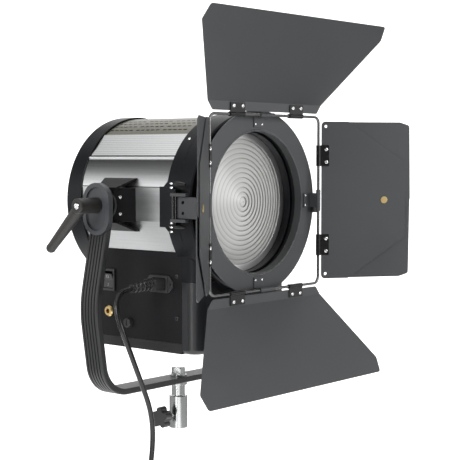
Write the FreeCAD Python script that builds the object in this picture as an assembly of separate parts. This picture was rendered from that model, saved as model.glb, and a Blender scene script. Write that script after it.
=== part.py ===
"""Fresnel spotlight on a yoke, with a four-leaf barn door, as separate solids.

Frame: millimetres, +Z up, the lens looks towards -Y, and the origin is the centre of the mouth
of the stand socket, straight under the tilt axis.
"""

import FreeCAD, Part
import math
import os

V = FreeCAD.Vector

# ---- driving dimensions -------------------------------------------------------------------
LENS_Z = 333.0          # height of the lens axis above the socket's mouth
TILT_Z = 330.0          # height of the tilt axis
WIRE_Y = -164.5         # plane of the barn door's wire frame
RING_Y = -149.5         # front face of the barn door's ring plate
NOSE_Y = -134.0         # front face of the lamp's front ring
NOSE_SEAM_Y = -110.4    # seam between front ring and front cap
BODY_FRONT_Y = -89.5    # front cap ends, aluminium body starts
BODY_BACK_Y = 78.5      # aluminium body ends inside the rear cap
REAR_CAP_Y = 75.5       # front lip of the rear cap
REAR_Y = 106.5          # back of the lamp
BODY_R = 119.5          # corners of the faceted aluminium body
NOSE_R = 122.0          # front ring and front cap
REAR_R = 120.5          # rear cap
SHEET = 2.5             # wall of the body extrusions
SEAM = 0.4              # gap at a seam between two panels
BASE_HALF_X = 99.0      # half width of the electronics base
BASE_FRONT_Y = -124.5
BASE_BACK_Y = 75.2
BASE_TOP_Z = LENS_Z - 66.0
BASE_SEAM_Z = LENS_Z - 106.6
TRAY_TOP_Z = LENS_Z - 190.3
BASE_Z = LENS_Z - 204.0
LENS_R = 90.0
WIRE_HALF = 119.0       # half side of the square wire frame, to the wire's centre
WIRE_R = 2.0
RING_R = 126.7          # barn door ring plate
RING_BORE_R = 97.7
LEAF_T = 1.2            # sheet of the barn door leaves
STRIP = 17.0            # hinge strip of the top and bottom leaves, up to their crease
LEAF_LEN = 147.0        # top and bottom leaves, from the hinge axis
CREASE = 28.0           # degrees between hinge strip and leaf
TOP_REST = 2.0          # degrees the top hinge strip leans forward at rest
BOTTOM_REST = 0.0
SIDE_LEN = 133.0        # side leaves, from the hinge axis
SIDE_REST = 36.0        # degrees the side leaves lean forward at rest
RIVET_S = 100.0         # flap rivet, from the hinge axis
FLAP_LEN = 141.0
YOKE_W = 33.0
YOKE_T = 8.5
BAR_Z = 67.7            # underside of the yoke's bar
SOCKET_R = 13.5
STUD_R = 8.1            # bore for a 16 mm stand stud
CORD_D = 7.0

os.makedirs("parts", exist_ok=True)
parts = {}


# ---- shapes -------------------------------------------------------------------------------
def box(x0, x1, y0, y1, z0, z1):
    return Part.makeBox(x1 - x0, y1 - y0, z1 - z0, V(x0, y0, z0))


def rod(start, axis, radius, length):
    return Part.makeCylinder(radius, length, V(*start), V(*axis))


def rod_y(x, z, radius, y0, y1):
    """Round bar along Y."""
    return rod((x, y0, z), (0, 1, 0), radius, y1 - y0)


def rod_x(y, z, radius, x0, x1):
    """Round bar along X."""
    return rod((x0, y, z), (1, 0, 0), radius, x1 - x0)


def plate(corners, thickness):
    """Flat polygon, thickened by the vector thickness."""
    points = [V(*c) for c in corners]
    return Part.Face(Part.makePolygon(points + points[:1])).extrude(V(*thickness))


def turned_y(profile, z=LENS_Z, x=0.0):
    """Profile of (radius, y) corners turned about a line along Y."""
    points = [V(x + r, y, z) for r, y in profile]
    face = Part.Face(Part.makePolygon(points + points[:1]))
    return face.revolve(V(x, 0, z), V(0, 1, 0), 360)


def turned_x(profile, y=0.0, z=TILT_Z):
    """Profile of (radius, x) corners turned about a line along X."""
    points = [V(x, y, z + r) for r, x in profile]
    face = Part.Face(Part.makePolygon(points + points[:1]))
    return face.revolve(V(0, y, z), V(1, 0, 0), 360)


def turned_z(profile, x=0.0, y=0.0):
    """Profile of (radius, z) corners turned about a vertical line."""
    points = [V(x + r, y, z) for r, z in profile]
    face = Part.Face(Part.makePolygon(points + points[:1]))
    return face.revolve(V(x, y, 0), V(0, 0, 1), 360)


def mirrored(shape):
    """The same shape on the lamp's other side."""
    return shape.mirror(V(0, 0, 0), V(1, 0, 0))


def group(*shapes):
    """Separate solids that share a node."""
    return Part.makeCompound([s for shape in shapes for s in shape.Solids])


def round_edges(shape, radius, test):
    """Fillets the edges whose middle passes the test."""
    edges = [e for e in shape.Edges if test(e.valueAt((e.FirstParameter + e.LastParameter) / 2), e)]
    return shape.makeFillet(radius, edges)


def along(edge, axis):
    """True for a straight edge that lies along the axis."""
    return (edge.Curve.TypeId == "Part::GeomLine"
            and abs(abs(edge.Curve.Direction.dot(V(*axis))) - 1) < 1e-6)


def bent_path(points, share=0.45, radii=None):
    """Straight runs joined by tangent arcs; returns the wire and the arcs' radii."""
    points = [V(*p) for p in points]
    edges, used, start = [], [], points[0]
    for i in range(1, len(points) - 1):
        back, ahead = points[i - 1] - points[i], points[i + 1] - points[i]
        half = (math.pi - back.getAngle(ahead)) / 2
        radius = radii[i - 1] if radii else share * min(back.Length, ahead.Length) / math.tan(half)
        reach = radius * math.tan(half)
        back.normalize()
        ahead.normalize()
        a, b = points[i] + back * reach, points[i] + ahead * reach
        middle = (back + ahead).normalize() * (radius / math.cos(half) - radius)
        edges += [Part.LineSegment(start, a).toShape(), Part.Arc(a, points[i] + middle, b).toShape()]
        used.append(radius)
        start = b
    edges.append(Part.LineSegment(start, points[-1]).toShape())
    return Part.Wire(edges), used


# ---- aluminium body: bent extrusions around the lens axis ------------------------------------
def on_body(angle, radius):
    """Point of the body's section; the angle starts at the left side and climbs over the top."""
    a = math.radians(angle)
    return -radius * math.cos(a), LENS_Z + radius * math.sin(a)


def facets(angles, y0=BODY_FRONT_Y, y1=BODY_BACK_Y):
    """Sheet folded along the section's corners at these angles."""
    outer = [on_body(a, BODY_R) for a in angles]
    inner = [on_body(a, BODY_R - SHEET) for a in reversed(angles)]
    return plate([(x, y0, z) for x, z in outer + inner], (0, y1 - y0, 0))


SEAM_ANGLE = 10.7
RIDGE_ANGLE = 31.0
TOP_ANGLE = 52.0
BASE_ANGLE = -33.4
GAP_ANGLE = math.degrees(SEAM / BODY_R)

BEAD_R = 2.2
lower_panel = facets([BASE_ANGLE, -12, SEAM_ANGLE - 2.5 * GAP_ANGLE])
# The upper panel is gently curved and ends in a round bead; the strip above it is flat.
bow_angles = [SEAM_ANGLE, 21, RIDGE_ANGLE - GAP_ANGLE]
corners = [(a, BODY_R) for a in bow_angles] + [(a, BODY_R - SHEET) for a in reversed(bow_angles)]
bow = [V(on_body(a, r)[0], BODY_FRONT_Y, on_body(a, r)[1]) for a, r in corners]
rim = [Part.Arc(*bow[:3]).toShape(), Part.LineSegment(bow[2], bow[3]).toShape(),
       Part.Arc(*bow[3:]).toShape(), Part.LineSegment(bow[5], bow[0]).toShape()]
upper_panel = Part.Face(Part.Wire(rim)).extrude(V(0, BODY_BACK_Y - BODY_FRONT_Y, 0))
bead_x, bead_z = on_body(RIDGE_ANGLE, BODY_R - 1.4)
upper_panel = upper_panel.fuse(rod_y(bead_x, bead_z, BEAD_R, BODY_FRONT_Y, BODY_BACK_Y)).removeSplitter()
side_strip = facets([RIDGE_ANGLE + 1.6, TOP_ANGLE - GAP_ANGLE])
parts["lower_side_panels"] = group(lower_panel, mirrored(lower_panel))
parts["upper_side_panels"] = group(upper_panel, mirrored(upper_panel), side_strip, mirrored(side_strip))

# The top panel is curved, with three groups of four rows of short vent slots on each side.
TOP_R = 118.0
SLOT_ROWS = (58, 63, 68, 73)
SLOT_LEN, SLOT_W, SLOT_PITCH = 7.0, 2.4, 9.5
arch = Part.makeCylinder(TOP_R, BODY_BACK_Y - BODY_FRONT_Y, V(0, BODY_FRONT_Y, LENS_Z), V(0, 1, 0))
arch = arch.cut(rod_y(0, LENS_Z, TOP_R - SHEET, BODY_FRONT_Y - 1, BODY_BACK_Y + 1))
wedge = [(0, BODY_FRONT_Y - 1, LENS_Z)]
wedge += [(2 * x, BODY_FRONT_Y - 1, 2 * z - LENS_Z) for x, z in (on_body(TOP_ANGLE, 150), on_body(128, 150))]
top_panel = arch.common(plate(wedge, (0, BODY_BACK_Y - BODY_FRONT_Y + 2, 0)))
slots = []
for angle in SLOT_ROWS + tuple(180 - a for a in SLOT_ROWS):
    for middle in (-52.0, 0.0, 52.0):
        for i in range(-2, 3):
            y = middle + i * SLOT_PITCH - SLOT_LEN / 2
            slot = box(-SLOT_W / 2, SLOT_W / 2, y, y + SLOT_LEN, LENS_Z + 100, LENS_Z + 130)
            slot.rotate(V(0, 0, LENS_Z), V(0, 1, 0), angle - 90)
            slots.append(slot)
parts["top_panel"] = top_panel.cut(slots)

# ---- front ring, front cap and lens ----------------------------------------------------------
COLLAR_R = 103.0
RECESS_R = 100.0
NOSE_WALL = 6.0
parts["front_ring"] = turned_y([
    (RECESS_R, RING_Y + 2.4), (COLLAR_R, RING_Y + 2.4), (COLLAR_R, NOSE_Y), (NOSE_R - 2, NOSE_Y),
    (NOSE_R, NOSE_Y + 2), (NOSE_R, NOSE_SEAM_Y), (NOSE_R - NOSE_WALL, NOSE_SEAM_Y),
    (NOSE_R - NOSE_WALL, NOSE_Y + 3), (RECESS_R, NOSE_Y + 3)])

CHIN_TOP_Z = LENS_Z - 80.0
TAB_Y = -81.5
TAB_HALF = 28.0
cap = turned_y([(NOSE_R - NOSE_WALL, NOSE_SEAM_Y + SEAM), (NOSE_R, NOSE_SEAM_Y + SEAM),
                (NOSE_R, BODY_FRONT_Y - SEAM), (NOSE_R - NOSE_WALL, BODY_FRONT_Y - SEAM)])
tab_ring = turned_y([(BODY_R + 0.5, BODY_FRONT_Y - SEAM), (NOSE_R, BODY_FRONT_Y - SEAM),
                     (NOSE_R, TAB_Y), (BODY_R + 0.5, TAB_Y)])
TAB_Z = LENS_Z - 4
tab_outline = plate([(-130, BODY_FRONT_Y - 2, TAB_Z - TAB_HALF - 8), (-130, TAB_Y, TAB_Z - TAB_HALF + 4),
                     (-130, TAB_Y, TAB_Z + TAB_HALF - 4), (-130, BODY_FRONT_Y - 2, TAB_Z + TAB_HALF + 8)],
                    (260, 0, 0))
cap = cap.fuse(tab_ring.common(tab_outline))
COLUMN_Y = BODY_FRONT_Y - SEAM - 8
chin = box(-BASE_HALF_X, BASE_HALF_X, BASE_FRONT_Y, COLUMN_Y, BASE_SEAM_Z + 0.3, CHIN_TOP_Z + 10)
CORNER_R = 20.0
chin = round_edges(chin, CORNER_R, lambda p, e: along(e, (0, 0, 1)) and p.y < BASE_FRONT_Y + 1)
hollow = box(-BASE_HALF_X + 4, BASE_HALF_X - 4, BASE_FRONT_Y + 4, COLUMN_Y + 1,
             BASE_SEAM_Z - 1, CHIN_TOP_Z + 11)
chin = chin.cut(hollow.makeFillet(CORNER_R - 4, [e for e in hollow.Edges if along(e, (0, 0, 1))
                                                 and e.valueAt(0).y < BASE_FRONT_Y + 5]))
nose_space = rod_y(0, LENS_Z, NOSE_R + 0.3, BASE_FRONT_Y - 20, NOSE_SEAM_Y + SEAM)
inner_space = rod_y(0, LENS_Z, NOSE_R - NOSE_WALL, NOSE_SEAM_Y, COLUMN_Y + 20)
chin = chin.cut([nose_space, inner_space])
parts["front_cap"] = cap.fuse(chin).removeSplitter()

HOLDER_R = NOSE_R - NOSE_WALL - 0.2
LENS_FRONT_Y = -116.0
LENS_BACK_Y = -108.0
parts["lens_holder"] = turned_y([
    (RECESS_R - 3, NOSE_Y + 4), (RECESS_R - 0.2, NOSE_Y + 4), (RECESS_R - 0.2, -112.4), (HOLDER_R, -112.4),
    (HOLDER_R, -109.6), (RECESS_R - 0.2, -109.6), (RECESS_R - 0.2, -104.5), (LENS_R - 5, -104.5),
    (LENS_R - 5, LENS_BACK_Y + 0.2), (LENS_R + 0.3, LENS_BACK_Y + 0.2), (LENS_R + 0.3, -115.6),
    (RECESS_R - 3, -115.6)])
parts["lens_retainer"] = turned_y([
    (LENS_R - 2.5, -118.6), (RECESS_R - 3.4, -118.6), (RECESS_R - 3.4, -116.1), (LENS_R - 2.5, -116.1)])

# The lens: flat back, and rings that each slope like a piece of one thick convex lens.
LENS_STEPS = 13
LENS_DOME = 7.0
TOOTH = 1.6


def dome(r):
    """Height of the lens's crown above its rim at radius r."""
    return LENS_DOME * (1 - (r / LENS_R) ** 2)


profile = [(0, LENS_BACK_Y), (0, LENS_FRONT_Y - LENS_DOME)]
step_edge = LENS_R - 3
for i in range(LENS_STEPS):
    r = step_edge * (i + 1) / LENS_STEPS
    profile.append((r, LENS_FRONT_Y - dome(r) + TOOTH))
    if i < LENS_STEPS - 1:
        profile.append((r + 0.4, LENS_FRONT_Y - dome(r)))
profile += [(LENS_R, LENS_FRONT_Y + TOOTH), (LENS_R, LENS_BACK_Y)]
parts["fresnel_lens"] = turned_y(profile)

# ---- electronics base ------------------------------------------------------------------------
front = box(-BASE_HALF_X, BASE_HALF_X, BASE_FRONT_Y, COLUMN_Y, BASE_Z, BASE_SEAM_Z)
front = round_edges(front, CORNER_R, lambda p, e: along(e, (0, 0, 1)) and p.y < BASE_FRONT_Y + 1)
front = round_edges(front, 7.0, lambda p, e: p.z < BASE_Z + 0.1 and p.y < COLUMN_Y - 0.5)
hollow = box(-BASE_HALF_X + 4, BASE_HALF_X - 4, BASE_FRONT_Y + 4, COLUMN_Y + 1, BASE_Z + 8, BASE_SEAM_Z + 1)
front = front.cut(round_edges(hollow, CORNER_R - 4,
                              lambda p, e: along(e, (0, 0, 1)) and p.y < BASE_FRONT_Y + 5))
parts["base_front"] = front.cut([nose_space, rod_y(0, LENS_Z, NOSE_R + 0.3, BASE_FRONT_Y - 1, COLUMN_Y + 1)])

TRAY_Y = COLUMN_Y + SEAM
tray = box(-BASE_HALF_X, BASE_HALF_X, TRAY_Y, BASE_BACK_Y, BASE_Z, TRAY_TOP_Z)
tray = tray.fuse(box(-BASE_HALF_X + 2.3, BASE_HALF_X - 2.3, BASE_BACK_Y - 2, BASE_BACK_Y,
                     TRAY_TOP_Z, BASE_TOP_Z - 2))
tray = tray.cut(box(-BASE_HALF_X + 2, BASE_HALF_X - 2, TRAY_Y + 2, BASE_BACK_Y - 2,
                    BASE_Z + 2, TRAY_TOP_Z + 1))
tray_slots = [box(-60, 60, y, y + 3, BASE_Z - 1, BASE_Z + 3) for y in range(-60, 50, 12)]
parts["base_tray"] = tray.cut(tray_slots + [rod_y(0, LENS_Z, REAR_R + 0.5, REAR_CAP_Y - 3, BASE_BACK_Y + 1)])

PLATE_T = 2.0
side_plate = box(-BASE_HALF_X, -BASE_HALF_X + PLATE_T, TRAY_Y, BASE_BACK_Y,
                 TRAY_TOP_Z + SEAM, BASE_TOP_Z - SEAM)
side_plate = side_plate.cut(rod_y(0, LENS_Z, NOSE_R + 0.3, TRAY_Y - 1, BODY_FRONT_Y))
INLET_Y, INLET_Z = -58.0, LENS_Z - 110.5
SWITCH_Y, SWITCH_Z = 42.0, LENS_Z - 111.0
JACK_Y, JACK_Z = 41.5, LENS_Z - 155.5
FUSE_Y, FUSE_Z = 2.5, LENS_Z - 169.0
PLATE_X = -BASE_HALF_X
left_plate = side_plate.cut([
    box(PLATE_X - 1, PLATE_X + 3, INLET_Y - 14, INLET_Y + 14, INLET_Z - 10.5, INLET_Z + 10.5),
    box(PLATE_X - 1, PLATE_X + 3, SWITCH_Y - 11, SWITCH_Y + 11, SWITCH_Z - 13.5, SWITCH_Z + 13.5),
    rod_x(JACK_Y, JACK_Z, 6.2, PLATE_X - 1, PLATE_X + 3),
    rod_x(FUSE_Y, FUSE_Z, 6.2, PLATE_X - 1, PLATE_X + 3)])
grille = [box(BASE_HALF_X - 3, BASE_HALF_X + 1, y, y + 22, z, z + 3)
          for y in (-50, -20, 10, 40) for z in range(int(TRAY_TOP_Z) + 20, int(BASE_TOP_Z) - 20, 8)]
parts["side_plates"] = group(left_plate, mirrored(side_plate).cut(grille))

# Power inlet with two ears, its switch, the round low-voltage jack and the fuse cap.
ear = plate([(PLATE_X, INLET_Y - 14.5, INLET_Z - 11.2), (PLATE_X, INLET_Y - 18, INLET_Z - 11.2),
             (PLATE_X, INLET_Y - 25, INLET_Z - 3.5), (PLATE_X, INLET_Y - 25, INLET_Z + 3.5),
             (PLATE_X, INLET_Y - 18, INLET_Z + 11.2), (PLATE_X, INLET_Y - 14.5, INLET_Z + 11.2)],
            (-2.4, 0, 0))
far_ear = ear.mirror(V(0, INLET_Y, 0), V(0, 1, 0))
frame = box(PLATE_X - 3.4, PLATE_X, INLET_Y - 15.5, INLET_Y + 15.5, INLET_Z - 11.8, INLET_Z + 11.8)
housing = box(PLATE_X, PLATE_X + 18, INLET_Y - 13.8, INLET_Y + 13.8, INLET_Z - 10.3, INLET_Z + 10.3)
inlet = ear.fuse([far_ear, frame, housing])
inlet = inlet.cut(box(PLATE_X - 4, PLATE_X + 15, INLET_Y - 12.3, INLET_Y + 12.3,
                      INLET_Z - 8.4, INLET_Z + 8.4))
pins = [box(PLATE_X - 0.5, PLATE_X + 16, INLET_Y + y - 1, INLET_Y + y + 1, INLET_Z + z - 2, INLET_Z + z + 2)
        for y, z in ((-7, 1.5), (7, 1.5), (0, -2.5))]
parts["power_inlet"] = inlet.fuse(pins).removeSplitter()

bezel = box(PLATE_X - 2.2, PLATE_X, SWITCH_Y - 12.75, SWITCH_Y + 12.75, SWITCH_Z - 15.5, SWITCH_Z + 15.5)
bezel = bezel.fuse(box(PLATE_X, PLATE_X + 20, SWITCH_Y - 10.8, SWITCH_Y + 10.8,
                       SWITCH_Z - 13.3, SWITCH_Z + 13.3))
parts["switch_bezel"] = bezel.cut(
    box(PLATE_X - 3, PLATE_X + 14, SWITCH_Y - 9.6, SWITCH_Y + 9.6, SWITCH_Z - 12.2, SWITCH_Z + 12.2))
ROCKER_PIVOT_X = PLATE_X + 6.0
ROCKER_TILT = 8.0
section = [(PLATE_X - 3.4, 10.2), (PLATE_X - 1.0, 0), (PLATE_X - 3.4, -10.2), (PLATE_X + 5, -9.4),
           (PLATE_X + 11, 0), (PLATE_X + 5, 9.4)]
rocker = plate([(x, SWITCH_Y - 9.2, SWITCH_Z + z) for x, z in section], (0, 18.4, 0))
rocker = rocker.fuse(rod_y(ROCKER_PIVOT_X, SWITCH_Z, 1.5, SWITCH_Y - 9.5, SWITCH_Y + 9.5)).removeSplitter()
rocker.rotate(V(ROCKER_PIVOT_X, 0, SWITCH_Z), V(0, 1, 0), -ROCKER_TILT)
parts["power_rocker"] = rocker

parts["low_voltage_jack"] = turned_x([
    (3.4, PLATE_X - 3.4), (6.2, PLATE_X - 3.4), (7.9, PLATE_X - 1.2), (7.9, PLATE_X), (6.0, PLATE_X),
    (6.0, PLATE_X + 12), (0, PLATE_X + 12), (0, PLATE_X + 8), (3.4, PLATE_X + 8)], JACK_Y, JACK_Z)
fuse = turned_x([(0, PLATE_X - 5.5), (5.6, PLATE_X - 5.5), (6.6, PLATE_X - 4.5), (7.4, PLATE_X),
                 (6.0, PLATE_X), (6.0, PLATE_X + 25), (0, PLATE_X + 25)], FUSE_Y, FUSE_Z)
coin_slot = box(PLATE_X - 6, PLATE_X - 4, FUSE_Y - 0.8, FUSE_Y + 0.8, FUSE_Z - 4, FUSE_Z + 4)
parts["fuse_cap"] = fuse.cut(coin_slot)

# ---- rear cap, control panel and knobs ---------------------------------------------------------
CAP_WALL = 3.0
PANEL_Y = 99.5
LIP_R = REAR_R - CAP_WALL + 2.4
rear = turned_y([(LIP_R, REAR_CAP_Y), (REAR_R - 0.8, REAR_CAP_Y), (REAR_R, REAR_CAP_Y + 1.5), (REAR_R, REAR_Y),
                 (98, REAR_Y), (98, PANEL_Y + 3.2), (114, PANEL_Y + 3.2), (114, PANEL_Y - 4),
                 (116.5, PANEL_Y - 7), (116.5, BODY_BACK_Y + 0.3), (LIP_R, BODY_BACK_Y + 0.3)])
parts["rear_cap"] = round_edges(rear, 3.6, lambda p, e: abs(p.y - REAR_Y) < 0.01 and
                                math.hypot(p.x, p.z - LENS_Z) > REAR_R - 1)
FOCUS_Z = LENS_Z - 62.0
DIMMER_X, DIMMER_Z = -42.0, LENS_Z + 12.0
KNOB_Y = PANEL_Y + 4.0
panel = turned_y([(0, PANEL_Y), (113.7, PANEL_Y), (113.7, PANEL_Y + 3), (0, PANEL_Y + 3)])
parts["control_panel"] = panel.cut([rod_y(0, FOCUS_Z, 4.08, PANEL_Y - 1, PANEL_Y + 4),
                                    rod_y(DIMMER_X, DIMMER_Z, 3.08, PANEL_Y - 1, PANEL_Y + 4)])


def knob(x, z, radius, depth):
    """Round control knob with a chamfered rim and finger grooves."""
    body = turned_y([(0, KNOB_Y), (radius, KNOB_Y), (radius, KNOB_Y + depth - 2),
                     (radius - 2, KNOB_Y + depth), (0, KNOB_Y + depth)], z, x)
    grooves = []
    for i in range(12):
        a = math.radians(30 * i)
        grooves.append(rod_y(x + (radius + 0.9) * math.cos(a), z + (radius + 0.9) * math.sin(a), 1.8,
                             KNOB_Y + 3, KNOB_Y + depth + 1))
    return body.cut(grooves)


SCREW_FRONT_Y = -86.0
parts["focus_knob_and_screw"] = group(knob(0, FOCUS_Z, 17.0, 18.0),
                                      rod_y(0, FOCUS_Z, 4.0, SCREW_FRONT_Y, KNOB_Y))
stem = rod_y(DIMMER_X, DIMMER_Z, 3.0, PANEL_Y - 14, KNOB_Y)
parts["dimmer_knob"] = knob(DIMMER_X, DIMMER_Z, 13.0, 15.0).fuse(stem).removeSplitter()

# ---- light engine that slides behind the lens ---------------------------------------------------
RAIL_X, RAIL_Z = 84.0, LENS_Z - 38.0
rails = rod_y(-RAIL_X, RAIL_Z, 4.0, -104.3, PANEL_Y)
parts["guide_rods"] = group(rails, mirrored(rails))
PLATE_Y = -62.0
carriage = box(-92, 92, PLATE_Y, PLATE_Y + 4, LENS_Z - 76, LENS_Z + 50)
carriage = carriage.cut([rod_y(-RAIL_X, RAIL_Z, 4.05, PLATE_Y - 1, PLATE_Y + 5),
                         rod_y(RAIL_X, RAIL_Z, 4.05, PLATE_Y - 1, PLATE_Y + 5),
                         rod_y(0, FOCUS_Z, 4.08, PLATE_Y - 1, PLATE_Y + 5)])
parts["carriage"] = carriage
led = box(-32, 32, PLATE_Y - 3, PLATE_Y, LENS_Z - 32, LENS_Z + 32)
parts["led_module"] = led.fuse(rod_y(0, LENS_Z, 17, PLATE_Y - 4.5, PLATE_Y - 3)).removeSplitter()
SINK = 45.0
SINK_BACK_Y = PLATE_Y + 64
sink = box(-SINK, SINK, PLATE_Y + 4, PLATE_Y + 10, LENS_Z - SINK, LENS_Z + SINK)
fins = [box(x, x + 2.2, PLATE_Y + 10, SINK_BACK_Y, LENS_Z - SINK, LENS_Z + SINK)
        for x in [-SINK + i * (2 * SINK - 2.2) / 12 for i in range(13)]]
parts["heat_sink"] = sink.fuse(fins).removeSplitter()
FAN_Y = SINK_BACK_Y
fan = box(-SINK, SINK, FAN_Y, FAN_Y + 25, LENS_Z - SINK, LENS_Z + SINK)
fan = fan.cut(rod_y(0, LENS_Z, 43, FAN_Y - 1, FAN_Y + 26))
for angle in (45, 135, 225, 315):
    strut = box(12, 50, FAN_Y + 22.5, FAN_Y + 25, LENS_Z - 2, LENS_Z + 2)
    strut.rotate(V(0, 0, LENS_Z), V(0, 1, 0), angle)
    fan = fan.fuse(strut.common(rod_y(0, LENS_Z, 43.5, FAN_Y, FAN_Y + 25)))
parts["fan_frame"] = fan.fuse(rod_y(0, LENS_Z, 16, FAN_Y + 22.5, FAN_Y + 25)).removeSplitter()
rotor = rod_y(0, LENS_Z, 16, FAN_Y + 4, FAN_Y + 22)
for i in range(7):
    blade = box(15, 41, FAN_Y + 5, FAN_Y + 21, LENS_Z - 0.8, LENS_Z + 0.8)
    blade.rotate(V(0, FAN_Y + 13, LENS_Z), V(1, 0, 0), 38)
    blade.rotate(V(0, 0, LENS_Z), V(0, 1, 0), 360 / 7 * i)
    rotor = rotor.fuse(blade)
parts["fan_rotor"] = rotor.removeSplitter()
board = box(-70, 70, -70, 60, BASE_Z + 10, BASE_Z + 12)
for x, y, height in ((-40, -40, 28), (-40, 10, 34), (20, -30, 30), (30, 25, 22)):
    board = board.fuse(box(x - 18, x + 18, y - 20, y + 20, BASE_Z + 12, BASE_Z + 12 + height))
for x, y in ((-66, -65), (66, -65), (-66, 55), (66, 55)):
    board = board.fuse(rod((x, y, BASE_Z + 2), (0, 0, 1), 3.0, 9))
parts["driver_board"] = board.removeSplitter()

# ---- pivot brackets, yoke and tilt lock ---------------------------------------------------------
BRACKET_IN, BRACKET_OUT = -117.4, -144.0
BRACKET_ROOT = -104.0
OUTER_HALF_Y, OUTER_HALF_Z = 18.0, 24.0
INNER_HALF_Y, INNER_HALF_Z = 30.5, 36.5


def bracket_wing(side):
    """Sloping sheet above (+1) or below (-1) the bracket's core."""
    return plate([(BRACKET_IN, -INNER_HALF_Y, TILT_Z + side * INNER_HALF_Z),
                  (BRACKET_IN, INNER_HALF_Y, TILT_Z + side * INNER_HALF_Z),
                  (BRACKET_OUT, OUTER_HALF_Y, TILT_Z + side * OUTER_HALF_Z),
                  (BRACKET_OUT, -OUTER_HALF_Y, TILT_Z + side * OUTER_HALF_Z)], (0, 0, -side * 3.0))


core = [(BRACKET_IN, -29.5), (BRACKET_OUT, -14.5), (BRACKET_OUT, 14.5), (BRACKET_IN, 29.5)]
core_in = [(BRACKET_IN + 1, -26), (BRACKET_OUT + 4, -12), (BRACKET_OUT + 4, 12), (BRACKET_IN + 1, 26)]
bracket = plate([(x, y, TILT_Z - OUTER_HALF_Z + 1) for x, y in core], (0, 0, 2 * OUTER_HALF_Z - 2))
bracket = bracket.cut(plate([(x, y, TILT_Z - OUTER_HALF_Z) for x, y in core_in], (0, 0, 2 * OUTER_HALF_Z)))
bracket = bracket.fuse([bracket_wing(1), bracket_wing(-1)]).removeSplitter()
for side in (1, -1):
    low = TILT_Z + side * INNER_HALF_Z - (3.0 if side > 0 else 0)
    bracket = bracket.fuse(box(BRACKET_IN, BRACKET_ROOT, -INNER_HALF_Y, INNER_HALF_Y, low, low + 3.0))
body_core = [on_body(a, BODY_R + 0.1) for a in (BASE_ANGLE, -12, SEAM_ANGLE, RIDGE_ANGLE, TOP_ANGLE)]
bracket = bracket.cut([plate([(x, -60, z) for x, z in body_core], (0, 120, 0)), upper_panel,
                       rod_x(0, TILT_Z, 5.3, BRACKET_OUT - 1, BRACKET_OUT + 5)]).removeSplitter()
parts["pivot_brackets"] = group(bracket, mirrored(bracket))

ARM_IN = -148.0
disc = turned_x([(5.3, ARM_IN + 0.3), (20, ARM_IN + 0.3), (20, BRACKET_OUT - 0.05),
                 (5.3, BRACKET_OUT - 0.05)])
parts["friction_discs"] = group(disc, mirrored(disc))

half = [(ARM_IN, 340), (ARM_IN, 314), (-173.0, 192), (-155.5, BAR_Z + YOKE_T)]
route = [(x, 0, z) for x, z in half] + [(-x, 0, z) for x, z in reversed(half)]
yoke_path, _ = bent_path(route, radii=[110, 150, 40, 40, 150, 110])
GROOVES, GROOVE_W, GROOVE_D = 5, 2.0, 1.4
across = [(YOKE_W / 2, 0), (YOKE_W / 2, YOKE_T - 1.2), (YOKE_W / 2 - 1.2, YOKE_T)]
for i in range(GROOVES):
    middle = YOKE_W * (0.5 - (i + 1) / (GROOVES + 1))
    across += [(middle + GROOVE_W / 2, YOKE_T), (middle + GROOVE_W / 3, YOKE_T - GROOVE_D),
               (middle - GROOVE_W / 3, YOKE_T - GROOVE_D), (middle - GROOVE_W / 2, YOKE_T)]
across += [(-YOKE_W / 2 + 1.2, YOKE_T), (-YOKE_W / 2, YOKE_T - 1.2), (-YOKE_W / 2, 0)]
section = [V(ARM_IN - t, y, half[0][1]) for y, t in across]
yoke = yoke_path.makePipeShell([Part.makePolygon(section + section[:1])], True, False)
tip = rod_x(0, half[0][1] - 0.01, YOKE_W / 2, ARM_IN - YOKE_T, ARM_IN)
tip = tip.common(box(ARM_IN - YOKE_T, ARM_IN, -20, 20, half[0][1] - 0.01, 400))
yoke = yoke.fuse([tip, mirrored(tip)])
yoke = yoke.cut([rod_x(0, TILT_Z, 5.3, -170, 170), rod((0, 0, BAR_Z - 5), (0, 0, 1), 6.2, 20)])
parts["yoke_bar"] = yoke

ARM_OUT = ARM_IN - YOKE_T
COVER_HALF_Y, COVER_HALF_Z, COVER_T = 25.0, 35.5, 8.0
COVER_Z = TILT_Z - 5.0


def stadium(grow, x0, x1):
    """Upright slab with round ends, the oval cover's outline grown by this much."""
    radius = COVER_HALF_Y + grow
    top, bottom = COVER_Z + COVER_HALF_Z - COVER_HALF_Y, COVER_Z - COVER_HALF_Z + COVER_HALF_Y
    slab = box(x0, x1, -radius, radius, bottom, top)
    return slab.fuse([rod_x(0, top, radius, x0, x1), rod_x(0, bottom, radius, x0, x1)]).removeSplitter()


cover = stadium(0, ARM_OUT - COVER_T, ARM_OUT - 0.1)
cover = cover.cut([stadium(-6, ARM_OUT - COVER_T - 1, ARM_OUT - COVER_T + 2.5),
                   rod_x(0, TILT_Z, 5.3, ARM_OUT - 20, ARM_OUT + 1), yoke])
cover = max(cover.Solids, key=lambda solid: solid.Volume)
parts["pivot_covers"] = group(cover, mirrored(cover))
COVER_FACE = ARM_OUT - COVER_T + 2.5

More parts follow.
